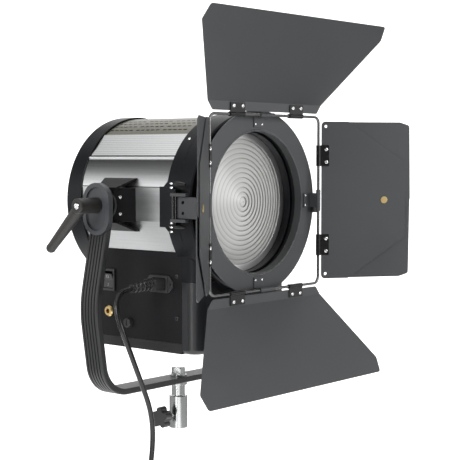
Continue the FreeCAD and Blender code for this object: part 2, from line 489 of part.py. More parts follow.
# Tilt lever on the left: hub, swept handle and the clamping stud through the arm.
HUB_IN, HUB_OUT = COVER_FACE - 0.6, COVER_FACE - 38.0
hub = turned_x([(0, HUB_OUT + 3), (5.5, HUB_OUT + 3), (5.5, HUB_OUT), (9.2, HUB_OUT), (10.4, HUB_OUT + 1.5),
                (10.8, HUB_IN), (0, HUB_IN)])
LEVER_LEN, LEVER_DROP = 88.0, 44.0
GRIP_X = -190.0
a = math.radians(LEVER_DROP)
grip = Part.makeCone(9.0, 6.6, LEVER_LEN - 7, V(GRIP_X, 4 * math.cos(a), TILT_Z - 4 * math.sin(a)),
                     V(0, math.cos(a), -math.sin(a)))
grip_end = V(GRIP_X, (LEVER_LEN - 3) * math.cos(a), TILT_Z - (LEVER_LEN - 3) * math.sin(a))
lever = hub.fuse([grip, Part.makeSphere(6.9, grip_end)])
lever_screw = turned_x([(0, HUB_OUT + 0.6), (4.6, HUB_OUT + 0.6), (4.6, HUB_OUT + 3), (0, HUB_OUT + 3)])
parts["tilt_lever"] = group(lever.removeSplitter(), lever_screw)
stud = rod_x(0, TILT_Z, 5.0, HUB_IN, BRACKET_OUT + 8)
nut = turned_x([(0, -COVER_FACE + 0.2), (9.5, -COVER_FACE + 0.2), (9.5, -COVER_FACE + 2),
                (8.0, -COVER_FACE + 3), (8.0, -COVER_FACE + 9), (5, -COVER_FACE + 11), (0, -COVER_FACE + 11)])
bolt = nut.fuse(rod_x(0, TILT_Z, 5.0, -BRACKET_OUT - 8, -COVER_FACE + 1)).removeSplitter()
parts["tilt_bolts"] = group(stud, bolt)

# ---- stand socket under the yoke -----------------------------------------------------------------
NECK_R = 9.8
SLEEVE_Z = 48.0
socket = turned_z([(0, 42), (0, BAR_Z), (6.0, BAR_Z), (6.0, BAR_Z - 0.1), (NECK_R + 3, BAR_Z - 0.1),
                   (NECK_R + 3, BAR_Z - 4), (NECK_R, BAR_Z - 4), (NECK_R, SLEEVE_Z),
                   (SOCKET_R - 0.8, SLEEVE_Z), (SOCKET_R, SLEEVE_Z - 0.8), (SOCKET_R, 1),
                   (SOCKET_R - 1, 0), (STUD_R, 0), (STUD_R, 42)])
LOCK_Z = 20.0
LOCK_R = 3.0
bolt = rod((0, 0, BAR_Z - 0.2), (0, 0, 1), 6.0, YOKE_T + 9)
socket = socket.fuse(bolt).cut(rod_x(0, LOCK_Z, LOCK_R + 0.05, -SOCKET_R - 1, 0)).removeSplitter()
parts["stand_socket"] = socket
BAR_TOP = BAR_Z + YOKE_T
washers = turned_z([(6.3, BAR_TOP + 0.1), (12, BAR_TOP + 0.1), (12, BAR_TOP + 2.1), (10.5, BAR_TOP + 2.2),
                    (10.5, BAR_TOP + 4.6), (6.3, BAR_TOP + 4.6)])
NUT_R = 10.2
hexagon = [(NUT_R * math.cos(math.radians(60 * i)), NUT_R * math.sin(math.radians(60 * i)), BAR_TOP + 4.7)
           for i in range(6)]
nut_body = turned_z([(0, BAR_TOP + 4), (NUT_R, BAR_TOP + 4), (NUT_R, BAR_TOP + 11.5), (8.0, BAR_TOP + 14),
                     (0, BAR_TOP + 14)])
cap_nut = plate(hexagon, (0, 0, 8.5)).common(nut_body)
parts["cap_nut_and_washer"] = group(cap_nut.cut(rod((0, 0, BAR_TOP), (0, 0, 1), 6.3, 9.4)), washers)

# The lock: a screw that slides towards the stud as its five-lobed knob is turned.
LOCK_FAR = -36.0
parts["lock_screw"] = rod_x(0, LOCK_Z, LOCK_R, LOCK_FAR, -STUD_R - 0.6)
KNOB_R = 11.0
lobe_angles = [math.radians(72 * i + 18) for i in range(5)]
lobes = [rod_x(KNOB_R * math.cos(a), LOCK_Z + KNOB_R * math.sin(a), 4.6, -41.5, -29.5) for a in lobe_angles]
star = rod_x(0, LOCK_Z, KNOB_R, -41.5, -29.5).fuse(lobes + [rod_x(0, LOCK_Z, 7.5, -30, -21)])
parts["lock_knob"] = star.cut(rod_x(0, LOCK_Z, LOCK_R + 0.05, LOCK_FAR - 0.3, -15)).removeSplitter()

# ---- side clamps that hold the barn door's ring ----------------------------------------------------
CLAMP_X = -NOSE_R - 6.5
PIN_Y, CLAMP_Z = -112.0, LENS_Z - 4.0
mount_plate = box(-NOSE_R - 2.8, -NOSE_R - 0.2, -106, TAB_Y + 0.3, CLAMP_Z - 27, CLAMP_Z + 27)
mount_plate = mount_plate.cut(rod_y(0, LENS_Z, NOSE_R + 0.1, -120, -60))
ears = [box(CLAMP_X - 4, -NOSE_R - 0.6, -117, -104, CLAMP_Z + s * 22 - 2, CLAMP_Z + s * 22 + 2)
        for s in (1, -1)]
pin = rod((CLAMP_X, PIN_Y, CLAMP_Z - 25), (0, 0, 1), 2.0, 50)
bracket = mount_plate.fuse(ears + [pin]).removeSplitter()
parts["clamp_brackets"] = group(bracket, mirrored(bracket))

HOOK_Y = RING_Y - 2.4
arm = rod((CLAMP_X, PIN_Y, CLAMP_Z - 19), (0, 0, 1), 4.2, 38)
arm = arm.fuse(box(CLAMP_X - 4, CLAMP_X + 1.5, HOOK_Y - 0.6, PIN_Y, CLAMP_Z - 14, CLAMP_Z + 14))
arm = arm.fuse([box(CLAMP_X - 4, -RING_R + 4.5, HOOK_Y - 3, HOOK_Y, CLAMP_Z + s * 9 - 4, CLAMP_Z + s * 9 + 4)
                for s in (1, -1)])
for s in (1, -1):
    arm = arm.fuse(box(CLAMP_X - 9, CLAMP_X - 1, PIN_Y - 27, PIN_Y,
                       CLAMP_Z + s * 17 - 2, CLAMP_Z + s * 17 + 2))
arm = arm.cut([rod((CLAMP_X, PIN_Y, CLAMP_Z - 30), (0, 0, 1), 2.06, 60)]
              + [rod((CLAMP_X - 10, PIN_Y - 18, CLAMP_Z + s * 7), (1, 0, 0), 2.4, 15) for s in (1, -1)])
parts["left_clamp_arm"] = arm.removeSplitter()
parts["right_clamp_arm"] = mirrored(parts["left_clamp_arm"])

# ---- barn door: ring plate, wire frame, tabs --------------------------------------------------------
parts["ring_plate"] = turned_y([
    (RING_BORE_R, RING_Y - 0.6), (RING_BORE_R + 1.8, RING_Y - 0.6), (RING_BORE_R + 2.6, RING_Y),
    (RING_R, RING_Y), (RING_R, RING_Y + 1.6), (RECESS_R - 0.6, RING_Y + 1.6), (RECESS_R - 0.6, RING_Y + 11),
    (RING_BORE_R, RING_Y + 11)])
WIRE_BEND = 10.0
corner = WIRE_HALF - WIRE_BEND
loop = []
for k in range(4):
    turn = FreeCAD.Rotation(V(0, 1, 0), 90 * k)
    at = V(0, WIRE_Y, LENS_Z)
    sweep = WIRE_BEND * math.sqrt(0.5)
    side_points = [V(-corner, 0, WIRE_HALF), V(corner, 0, WIRE_HALF), V(corner + sweep, 0, corner + sweep),
                   V(WIRE_HALF, 0, corner)]
    side_points = [at + turn.multVec(p) for p in side_points]
    line = Part.LineSegment(*side_points[:2])
    bend = Part.Arc(*side_points[1:])
    loop += [line.toShape(), bend.toShape()]
wire_path = Part.Wire(loop)
start = Part.Wire(Part.makeCircle(WIRE_R, V(-corner, WIRE_Y, LENS_Z + WIRE_HALF), V(1, 0, 0)))
wire = wire_path.makePipeShell([start], True, False)


def around_axis(shape, quarter):
    """Copy turned by quarter turns about the lens axis; 0 stays at the top, 1 goes to the right."""
    copy = shape.copy()
    copy.rotate(V(0, 0, LENS_Z), V(0, 1, 0), 90 * quarter)
    return copy


TAB_W, CURL_W = 20.0, 30.0
top = LENS_Z + WIRE_HALF
tab = box(-TAB_W / 2, TAB_W / 2, RING_Y - 1.3, RING_Y - 0.1, LENS_Z + 103, top - 0.4)
tab = tab.fuse(box(-TAB_W / 2, TAB_W / 2, WIRE_Y + 2.5, RING_Y - 0.5, top - 1.6, top - 0.4))
curl = rod_x(WIRE_Y, top, WIRE_R + 1.2, -CURL_W / 2, CURL_W / 2)
tab = tab.fuse(curl).cut(rod_x(WIRE_Y, top, WIRE_R + 0.02, -CURL_W, CURL_W)).removeSplitter()
parts["wire_frame"] = group(wire, *[around_axis(tab, k) for k in range(4)])

# ---- barn door leaves, drawn upright over their hinge at the origin ------------------------------------
CLIP_AT = 64.0
CLIP_W = 30.0
STRIP_START = 4.6


def outline(points, rounded, radius):
    """Sheet with this outline in X and Z, centred on y = 0, its listed corners rounded."""
    sheet = plate([(x, -LEAF_T / 2, z) for x, z in points], (0, LEAF_T, 0))
    return round_edges(sheet, radius, lambda p, e: along(e, (0, 1, 0)) and
                       any(math.hypot(p.x - x, p.z - z) < 0.1 for x, z in rounded))


def hinge_clips():
    """Two bent clips per leaf: a knuckle round the wire and a pad screwed to the leaf."""
    clips = []
    for x in (-CLIP_AT, CLIP_AT):
        clip = rod((x - CLIP_W / 2, 0, 0), (1, 0, 0), WIRE_R + 1.3, CLIP_W)
        clip = clip.fuse(box(x - CLIP_W / 2, x + CLIP_W / 2, -LEAF_T / 2 - 1.3, -LEAF_T / 2 - 0.05, 1, 15.5))
        clip = clip.cut(rod((x - CLIP_W, 0, 0), (1, 0, 0), WIRE_R + 0.06, 2 * CLIP_W))
        clips.append(clip.removeSplitter())
    return group(*clips)


def placed(shape, lean, quarter):
    """Leans a leaf forward about its wire, then takes it to its side of the frame."""
    copy = shape.copy()
    copy.rotate(V(0, 0, 0), V(1, 0, 0), lean)
    copy.translate(V(0, WIRE_Y, top))
    return around_axis(copy, quarter)


# Top and bottom: a narrow strip on the hinge, then a crease, then the flared leaf.
strip = outline([(-113, STRIP_START), (113, STRIP_START), (123, STRIP), (-123, STRIP)],
                [(-113, STRIP_START), (113, STRIP_START)], 5.0)
flared = outline([(-123, STRIP), (123, STRIP), (195, 125), (190, LEAF_LEN), (-190, LEAF_LEN), (-195, 125)],
                 [(195, 125), (190, LEAF_LEN), (-190, LEAF_LEN), (-195, 125)], 5.0)
flared.rotate(V(0, 0, STRIP), V(1, 0, 0), CREASE)
fold = rod((-123, 0, STRIP), (1, 0, 0), LEAF_T / 2, 246)
wide_leaf = strip.fuse([flared, fold]).removeSplitter()
for name, lean, quarter in (("top", TOP_REST, 0), ("bottom", BOTTOM_REST, 2)):
    parts[name + "_leaf"] = placed(wide_leaf, lean, quarter)
    parts[name + "_hinge_clips"] = placed(hinge_clips(), lean, quarter)

# Sides: a flat leaf with two cut corners, and two flaps on one rivet that fill them.
side = [(-113, STRIP_START), (113, STRIP_START), (113, 45), (54, SIDE_LEN), (-54, SIDE_LEN), (-113, 45)]
side_leaf = outline(side, side[:2] + [(54, SIDE_LEN), (-54, SIDE_LEN)], 6.0)
side_leaf = side_leaf.cut([rod((x, -2, 11), (0, 1, 0), 2.2, 4) for x in (-106, 106)]
                          + [rod((0, -2, RIVET_S), (0, 1, 0), 2.6, 4)])
rivet = rod((0, -LEAF_T / 2 - 1.2, RIVET_S), (0, 1, 0), 5.0, 1.15)
rivet = rivet.fuse([rod((0, -LEAF_T / 2 - 0.1, RIVET_S), (0, 1, 0), 2.5, 6.2),
                    rod((0, 4.5, RIVET_S), (0, 1, 0), 4.5, 1.2)]).removeSplitter()
LAYER = 1.6


def flap(side_sign, layer):
    """Flap behind the leaf, from the rivet out to one corner, on its own layer."""
    points = [(-9, RIVET_S - 9), (9, RIVET_S - 9), (112.5, 44), (112.5, 125), (108, FLAP_LEN - 1.5),
              (3, FLAP_LEN), (-9, FLAP_LEN - 2)]
    sheet = outline([(side_sign * x, z) for x, z in points],
                    [(side_sign * x, z) for x, z in (points[0], points[3], points[4], points[6])], 4.0)
    sheet = sheet.cut(rod((0, -2, RIVET_S), (0, 1, 0), 2.58, 4))
    sheet.translate(V(0, layer * LAYER, 0))
    return sheet


for name, quarter in (("left", 3), ("right", 1)):
    upper = 1 if name == "left" else -1
    parts[name + "_leaf"] = placed(side_leaf, SIDE_REST, quarter)
    parts[name + "_rivet"] = placed(rivet, SIDE_REST, quarter)
    parts[name + "_hinge_clips"] = placed(hinge_clips(), SIDE_REST, quarter)
    parts[name + "_upper_flap"] = placed(flap(upper, 1), SIDE_REST, quarter)
    parts[name + "_lower_flap"] = placed(flap(-upper, 2), SIDE_REST, quarter)

# ---- mains lead ---------------------------------------------------------------------------------------
PLUG_IN = PLATE_X + 2.0
CONNECTOR_OUT = PLATE_X - 21.0
connector = box(CONNECTOR_OUT, PLUG_IN, INLET_Y - 11.6, INLET_Y + 11.6, INLET_Z - 7.7, INLET_Z + 7.7)
connector = round_edges(connector, 3.0, lambda p, e: along(e, (1, 0, 0)))
sockets = [box(PLUG_IN - 4, PLUG_IN + 1, INLET_Y + y - 1.6, INLET_Y + y + 1.6,
               INLET_Z + z - 2.6, INLET_Z + z + 2.6) for y, z in ((-7, 1.5), (7, 1.5), (0, -2.5))]
connector = connector.cut(sockets)
BOOT_LEN, BOOT_DROOP = 36.0, 4.0
a = math.radians(BOOT_DROOP)
EXIT = (CONNECTOR_OUT - BOOT_LEN * math.cos(a), INLET_Y, INLET_Z - BOOT_LEN * math.sin(a))
boot = Part.makeCone(7.0, 4.2, BOOT_LEN + 1, V(*EXIT) + V(math.cos(a), 0, math.sin(a)) * (BOOT_LEN + 1),
                     V(-math.cos(a), 0, -math.sin(a)))
parts["cord_connector"] = connector.fuse(boot).removeSplitter()

CORD_START = tuple(V(*EXIT) + V(-math.cos(a), 0, -math.sin(a)) * 0.4)
CORD_ROUTE = [
    CORD_START, (-169.1, -58.0, 219.1), (-180.6, -59.9, 213.6), (-189.2, -63.4, 204.3),
    (-193.2, -68.4, 192.3), (-191.8, -75.5, 171.0), (-182.8, -79.5, 146.0), (-171.0, -81.0, 118.0),
    (-157.0, -80.5, 90.0), (-143.5, -79.5, 62.0), (-136.0, -78.0, 34.0), (-135.0, -76.5, 6.0),
    (-137.5, -75.0, -20.0), (-139.0, -73.0, -44.0)]
cord_path, radii = bent_path(CORD_ROUTE)
mouth = Part.Wire(Part.makeCircle(CORD_D / 2, V(*CORD_START), V(*CORD_ROUTE[1]) - V(*CORD_START)))
tube = cord_path.makePipeShell([mouth], True, False)
parts["cord_drop"] = tube
print("cord radii", [round(r, 1) for r in radii], "length", round(cord_path.Length, 1),
      "volume ratio", round(tube.Volume / (math.pi * (CORD_D / 2) ** 2 * cord_path.Length), 4))

# The rest of the lead is wound and tied: a ring of seven turns that hangs below the socket. The
# lead comes down on its left side, and a flat seat there meets the end of the drop.
COIL_R, COIL_TUBE = 36.0, 10.5
COIL_X, COIL_Y, COIL_Z = -114.5, -73.0, -80.0
coil = Part.makeTorus(COIL_R, COIL_TUBE, V(COIL_X, COIL_Y, COIL_Z), V(0, 1, 0))
seat = box(COIL_X - 50, COIL_X - 17, COIL_Y - 12, COIL_Y + 12, CORD_ROUTE[-1][2], 0)
parts["cord_coil"] = coil.cut(seat)

# The plug lies on the coil's front face: a block with two flat blades, a round earth pin and a boot.
PLUG_X, PLUG_Y, PLUG_Z = COIL_X - 30, COIL_Y - 19.5, COIL_Z - 24
plug = box(PLUG_X - 12, PLUG_X + 12, PLUG_Y - 8.5, PLUG_Y + 8.5, PLUG_Z - 22, PLUG_Z + 16)
plug = round_edges(plug, 4.0, lambda p, e: along(e, (0, 0, 1)))
blades = [box(PLUG_X + x - 3, PLUG_X + x + 3, PLUG_Y - 0.8, PLUG_Y + 0.8, PLUG_Z - 39, PLUG_Z - 21.9)
          for x in (-6.5, 6.5)]
ground = rod((PLUG_X, PLUG_Y - 5, PLUG_Z - 42), (0, 0, 1), 2.4, 20.1)
boot = Part.makeCone(6.5, 4.0, 22, V(PLUG_X, PLUG_Y, PLUG_Z + 15.9), V(0, 0, 1))
parts["cord_plug"] = plug.fuse(blades + [ground, boot]).removeSplitter()

# ---- export -------------------------------------------------------------------------------------------
for name, shape in parts.items():
    if not shape.isValid() or shape.Volume <= 0 or not shape.Solids:
        print("check", name, shape.isValid(), shape.Volume, len(shape.Solids))
    shape.exportStep(f"parts/{name}.step")
print(len(parts), "nodes")
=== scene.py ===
"""Looks of a fresnel spotlight: a faceted aluminium lamp on a ribbed yoke, with four barn doors.

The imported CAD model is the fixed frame. Its nodes keep their shapes and get their finishes here,
and small fasteners, marks, the mains lead and the studio are added around them.
"""

import math

import bmesh
import bpy
import numpy as np
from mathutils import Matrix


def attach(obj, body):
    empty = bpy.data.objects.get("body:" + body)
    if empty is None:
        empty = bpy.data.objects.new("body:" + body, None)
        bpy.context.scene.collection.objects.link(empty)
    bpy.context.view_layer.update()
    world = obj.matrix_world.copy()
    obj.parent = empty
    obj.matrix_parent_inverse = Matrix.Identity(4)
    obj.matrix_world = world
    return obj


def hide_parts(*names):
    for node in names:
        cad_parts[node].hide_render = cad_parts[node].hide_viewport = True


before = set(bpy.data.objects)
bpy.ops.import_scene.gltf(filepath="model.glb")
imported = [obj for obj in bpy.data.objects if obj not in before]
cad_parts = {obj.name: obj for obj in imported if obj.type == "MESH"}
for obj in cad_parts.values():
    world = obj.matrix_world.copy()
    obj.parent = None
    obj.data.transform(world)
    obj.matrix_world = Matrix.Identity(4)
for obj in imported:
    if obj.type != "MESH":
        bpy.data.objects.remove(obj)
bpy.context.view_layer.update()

# ---- Camera -------------------------------------------------------------------------------------
# A long lens at the height of the lamp, in front of it and to its left, looking slightly down.
VIEW_TURN, VIEW_DROP = -49.85, 3.37
camera_data = bpy.data.cameras.new("camera")
camera_data.lens = 98.6
camera_data.sensor_width = 36.0
camera = bpy.data.objects.new("camera", camera_data)
camera.location = (-1.3477, -1.2357, 0.3969)
camera.rotation_euler = (math.radians(90 - VIEW_DROP), 0, math.radians(VIEW_TURN))
bpy.context.collection.objects.link(camera)
bpy.context.scene.camera = camera
bpy.context.scene.view_settings.view_transform = "Standard"

# ---- Mains lead ---------------------------------------------------------------------------------
# A 7 mm round black PVC lead, 1.9 m long. It leaves the moulded connector's boot at the inlet,
# bends down beside the yoke, and its spare length is wound in seven turns and tied.
CORD_R = 0.0035
cord_route = [
    (-156.3, -58.0, 220.0), (-169.1, -58.0, 219.1), (-180.6, -59.9, 213.6), (-189.2, -63.4, 204.3),
    (-193.2, -68.4, 192.3), (-191.8, -75.5, 171.0), (-182.8, -79.5, 146.0), (-171.0, -81.0, 118.0),
    (-157.0, -80.5, 90.0), (-143.5, -79.5, 62.0), (-136.0, -78.0, 34.0), (-135.0, -76.5, 6.0),
    (-137.5, -75.0, -20.0), (-139.0, -73.0, -44.0)]
COIL_AT = np.array((-114.5, -73.0, -80.0))
COIL_R, TURNS, STEPS = 36.0, 7, 14


def coil_points():
    """Rings about the coil's centre: each turn lies beside the last, in one of the seven places
    of a hexagon packing, and moves to the next place over the last fifth of its turn."""
    t = np.arange(3, TURNS * STEPS - 1) / STEPS
    turn = np.floor(t)
    move = np.clip((t - turn - 0.8) / 0.2, 0, 1)
    places = np.array([(0, 0)] + [(7 * math.cos(k * math.pi / 3), 7 * math.sin(k * math.pi / 3)) for k in range(6)])
    here = places[turn.astype(int) % TURNS]
    after = places[(turn.astype(int) + 1) % TURNS]
    offset = here + (after - here) * move[:, None]
    angle = 2 * math.pi * t
    radius = 1.015 * (COIL_R + offset[:, 0])
    return COIL_AT + np.stack([-radius * np.sin(angle), offset[:, 1], radius * np.cos(angle)], axis=1)


coil = coil_points()
to_plug = COIL_AT + np.array([(17.1, -4.4, 35.8), (4.2, -6.9, 42.8), (-10.7, -11.7, 42.6), (-22, -17.1, 35.2),
                              (-29.9, -19.4, 21.3)])
plug_top = [tuple(COIL_AT + np.array((-30, -19.5, 13.9)))]
cord_points = np.array(cord_route + [tuple(p) for p in coil] + [tuple(p) for p in to_plug] + plug_top) / 1000


def spline_line(name, points):
    """Points read along a smooth NURBS line that has these control points."""
    data = bpy.data.curves.new(name, "CURVE")
    data.dimensions = "3D"
    line = data.splines.new("NURBS")
    line.points.add(len(points) - 1)
    line.points.foreach_set("co", np.c_[points, np.ones(len(points))].ravel())
    line.order_u = 3
    line.use_endpoint_u = True
    line.resolution_u = 8
    carrier = bpy.data.objects.new(name, data)
    mesh = bpy.data.meshes.new_from_object(carrier)
    read = np.empty(len(mesh.vertices) * 3)
    mesh.vertices.foreach_get("co", read)
    bpy.data.objects.remove(carrier)
    bpy.data.meshes.remove(mesh)
    return read.reshape(-1, 3)


def add_piece(name, grid, body, material=None, wrap_u=False, wrap_v=False, sharp=40):
    """A mesh from a grid of points, shaped (rows, columns, 3), or from a stack of such grids,
    closed on itself where asked. Doubled points at poles and seams are merged."""
    stack = grid[None] if grid.ndim == 3 else grid
    copies, rows, columns = stack.shape[:3]
    index = np.arange(copies * rows * columns).reshape(copies, rows, columns)
    if wrap_u:
        index = np.concatenate([index, index[:, :1]], axis=1)
    if wrap_v:
        index = np.concatenate([index, index[:, :, :1]], axis=2)
    corners = (index[:, :-1, :-1], index[:, 1:, :-1], index[:, 1:, 1:], index[:, :-1, 1:])
    mesh = bpy.data.meshes.new(name)
    mesh.from_pydata(stack.reshape(-1, 3).tolist(), [], np.stack(corners, axis=-1).reshape(-1, 4).tolist())
    return finish_mesh(name, mesh, body, material, sharp)


def finish_mesh(name, mesh, body, material, sharp=40):
    """Merges doubles, turns the faces outwards, shades smooth and rides on its body."""
    work = bmesh.new()
    work.from_mesh(mesh)
    bmesh.ops.remove_doubles(work, verts=work.verts, dist=1e-6)
    bmesh.ops.dissolve_degenerate(work, edges=work.edges, dist=1e-7)
    bmesh.ops.recalc_face_normals(work, faces=work.faces)
    work.to_mesh(mesh)
    work.free()
    mesh.shade_smooth()
    mesh.set_sharp_from_angle(angle=math.radians(sharp))
    piece = bpy.data.objects.new(name, mesh)
    bpy.context.collection.objects.link(piece)
    if material:
        mesh.materials.append(material)
    if body:
        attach(piece, body)
    return piece


def tube_grid(line, radii, sides=14):
    """A round tube along a line of points: circles square to the line, turned as little as
    possible from one to the next, with both ends closed at a centre point."""
    ahead = np.gradient(line, axis=0)
    ahead /= np.linalg.norm(ahead, axis=1)[:, None]
    side = np.cross(ahead[0], (0.3, 0.2, 1.0))
    frames = []
    for direction in ahead:
        side = side - direction * side.dot(direction)
        side /= np.linalg.norm(side)
        frames.append(side)
    frames = np.array(frames)
    up = np.cross(ahead, frames)
    a = np.linspace(0, 2 * math.pi, sides, endpoint=False)
    radii = np.broadcast_to(radii, len(line))[:, None, None]
    rings = line[:, None] + radii * (frames[:, None] * np.cos(a)[:, None] + up[:, None] * np.sin(a)[:, None])
    ends = [np.repeat(line[i][None, None], sides, axis=1) for i in (0, -1)]
    return np.concatenate([ends[0], rings, ends[1]])


def effect_group(name, inputs, outputs):
    """An empty shader node group with these named inputs (name, kind, value) and outputs."""
    group = bpy.data.node_groups.new(name, "ShaderNodeTree")
    for label, kind, value in inputs:
        socket = group.interface.new_socket(label, in_out="INPUT", socket_type=kind)
        socket.default_value = value
    for label, kind in outputs:
        group.interface.new_socket(label, in_out="OUTPUT", socket_type=kind)
    return group, group.nodes.new("NodeGroupInput"), group.nodes.new("NodeGroupOutput")


def node(tree, kind, links=None, **values):
    """Adds a node, sets its fields or input values, and links named inputs to sockets."""
    made = tree.nodes.new(kind)
    for key, value in values.items():
        if hasattr(made, key):
            setattr(made, key, value)
        else:
            made.inputs[key.replace("_", " ")].default_value = value
    for key, socket in (links or {}).items():
        tree.links.new(socket, made.inputs[key])
    return made


def make_skin():
    """Shared moulded or coated skin: two close tones in large soft clouds, a fine pebble in the
    surface, edges eased by a small radius, and a mask of the edges that takes the edge tone: wear on
    most finishes, a painted highlight on the ring plate."""
    group, given, out = effect_group("coated_skin", [
        ("Tone", "NodeSocketColor", (0.02, 0.02, 0.02, 1)),
        ("Second tone", "NodeSocketColor", (0.03, 0.03, 0.03, 1)),
        ("Edge tone", "NodeSocketColor", (0.1, 0.1, 0.1, 1)), ("Pebble", "NodeSocketFloat", 900.0),
        ("Pebble height", "NodeSocketFloat", 0.00005), ("Roughness", "NodeSocketFloat", 0.5),
        ("Roughness change", "NodeSocketFloat", 0.1)],
        [("Colour", "NodeSocketColor"), ("Roughness", "NodeSocketFloat"), ("Normal", "NodeSocketVector"),
         ("Edge", "NodeSocketFloat")])
    place = node(group, "ShaderNodeTexCoord").outputs["Object"]
    clouds = node(group, "ShaderNodeTexNoise", {"Vector": place}, Scale=14.0, Detail=5.0, Roughness=0.6)
    pebble = node(group, "ShaderNodeTexNoise", {"Vector": place, "Scale": given.outputs["Pebble"]}, Detail=2.0)
    eased = node(group, "ShaderNodeBevel", samples=4, Radius=0.0005)
    true_normal = node(group, "ShaderNodeNewGeometry").outputs["True Normal"]
    near = node(group, "ShaderNodeVectorMath", {0: eased.outputs[0], 1: true_normal}, operation="DOT_PRODUCT")
    edge = node(group, "ShaderNodeMapRange", {"Value": near.outputs["Value"]}, From_Min=0.97, From_Max=0.80)
    broken = node(group, "ShaderNodeTexNoise", {"Vector": place}, Scale=160.0, Detail=4.0)
    broken_mask = node(group, "ShaderNodeMapRange", {"Value": broken.outputs["Fac"]}, From_Min=0.42, From_Max=0.62)
    edge_wear_and_highlight = node(group, "ShaderNodeMath", {0: edge.outputs[0], 1: broken_mask.outputs[0]}, operation="MULTIPLY")
    mixed = node(group, "ShaderNodeMix", {6: given.outputs["Tone"], 7: given.outputs["Second tone"],
                                          0: clouds.outputs["Fac"]}, data_type="RGBA")
    final = node(group, "ShaderNodeMix", {6: mixed.outputs[2], 7: given.outputs["Edge tone"], 0: edge_wear_and_highlight.outputs[0]},
                 data_type="RGBA")
    swing = node(group, "ShaderNodeMath", {0: clouds.outputs["Fac"], 1: given.outputs["Roughness change"],
                                           2: given.outputs["Roughness"]}, operation="MULTIPLY_ADD")
    bump = node(group, "ShaderNodeBump", {"Height": pebble.outputs["Fac"], "Normal": eased.outputs[0],
                                          "Distance": given.outputs["Pebble height"]}, Strength=1.0)
    for label, socket in (("Colour", final.outputs[2]), ("Roughness", swing.outputs[0]),
                          ("Normal", bump.outputs[0]), ("Edge", edge_wear_and_highlight.outputs[0])):
        group.links.new(socket, out.inputs[label])
    return group


coated_skin = make_skin()


def coated(name, tone, second, edge=None, pebble=900.0, height=0.00005, roughness=0.45, change=0.12,
           metallic=0.0, coat=0.0, specular=0.5):
    """A material on the shared coated skin with these tones and this pebble."""
    material = bpy.data.materials.new(name)
    material.use_nodes = True
    tree = material.node_tree
    shader = tree.nodes["Principled BSDF"]
    skin = tree.nodes.new("ShaderNodeGroup")
    skin.node_tree = coated_skin
    skin.inputs["Tone"].default_value = (*tone, 1)
    skin.inputs["Second tone"].default_value = (*second, 1)
    skin.inputs["Edge tone"].default_value = (*(edge or second), 1)
    skin.inputs["Pebble"].default_value = pebble
    skin.inputs["Pebble height"].default_value = height
    skin.inputs["Roughness"].default_value = roughness
    skin.inputs["Roughness change"].default_value = change
    tree.links.new(skin.outputs["Colour"], shader.inputs["Base Color"])
    tree.links.new(skin.outputs["Roughness"], shader.inputs["Roughness"])
    tree.links.new(skin.outputs["Normal"], shader.inputs["Normal"])
    shader.inputs["Metallic"].default_value = metallic
    shader.inputs["Coat Weight"].default_value = coat
    shader.inputs["Specular IOR Level"].default_value = specular
    return material


lead_pvc = coated("lead_pvc", (0.006, 0.006, 0.0065), (0.010, 0.010, 0.011), pebble=1500, height=0.00001,
                  roughness=0.20, change=0.10, specular=0.4)
cord_line = spline_line("lead_line", cord_points)
mains_lead = add_piece("mains_lead", tube_grid(cord_line, CORD_R, 12), "yoke", lead_pvc, wrap_v=True)
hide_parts("cord_drop", "cord_coil")

# The tie is a strap of woven hook-and-loop tape, wound once round all the turns and stuck on itself.
TIE_W, TIE_T, TIE_R = 0.016, 0.0016, 0.0128


def tie_grid():
    """A band about the coil's tube at the left: a rounded closed section, as wide as the tape,
    carried round the tube's circle and swelling a little where the tape overlaps."""
    round_tube = np.linspace(0, 2 * math.pi, 48, endpoint=False)
    section = np.linspace(0, 2 * math.pi, 12, endpoint=False)
    along = TIE_W / 2 * np.sign(np.cos(section)) * np.abs(np.cos(section)) ** 0.4
    thick = TIE_T / 2 * np.sin(section)
    centre = COIL_AT / 1000 + np.array((COIL_R / 1000, 0, 0))
    radius = TIE_R + 0.0008 * np.cos(round_tube / 2) ** 8
    r = radius[:, None] + thick[None]
    x = centre[0] + r * np.cos(round_tube)[:, None]
    y = centre[1] + r * np.sin(round_tube)[:, None]
    z = centre[2] + np.broadcast_to(along, r.shape)
    return np.stack([x, y, z], axis=-1)


tie_tape = coated("tie_tape", (0.015, 0.015, 0.016), (0.035, 0.035, 0.036), pebble=2600, height=0.0002,
                  roughness=0.85, change=0.1)
lead_tie = add_piece("lead_tie", tie_grid(), "yoke", tie_tape, wrap_u=True, wrap_v=True)

# Ribs of the connector's boot: rings of the same moulding, smaller towards the lead.
BOOT_ROOT, BOOT_TIP = np.array((-0.1205, -0.058, 0.2225)), np.array((-0.1555, -0.058, 0.22005))


def boot_grid():
    """A tapered sleeve along the boot whose radius swells at each rib: a straight taper plus a
    squared cosine for the ribs, closed at both ends."""
    t = np.linspace(0, 1, 120)
    line = BOOT_ROOT + (BOOT_TIP - BOOT_ROOT) * t[:, None]
    ribs = np.clip(np.cos(2 * math.pi * (t * 5 + 0.1)) * 2.5, -1, 1)
    radius = 0.0072 - 0.0022 * t + 0.0010 * ribs
    return tube_grid(line, radius, 24)


boot_ribs = add_piece("connector_boot_ribs", boot_grid(), "head", lead_pvc, wrap_v=True)

# ---- Studio -------------------------------------------------------------------------------------
# A pale sweep of paper behind and below, and soft lamps: one high on the left, one in front on the
# right, one above and behind, and a tall strip on the left that draws a line on round corners.
FLOOR_Z = -0.55


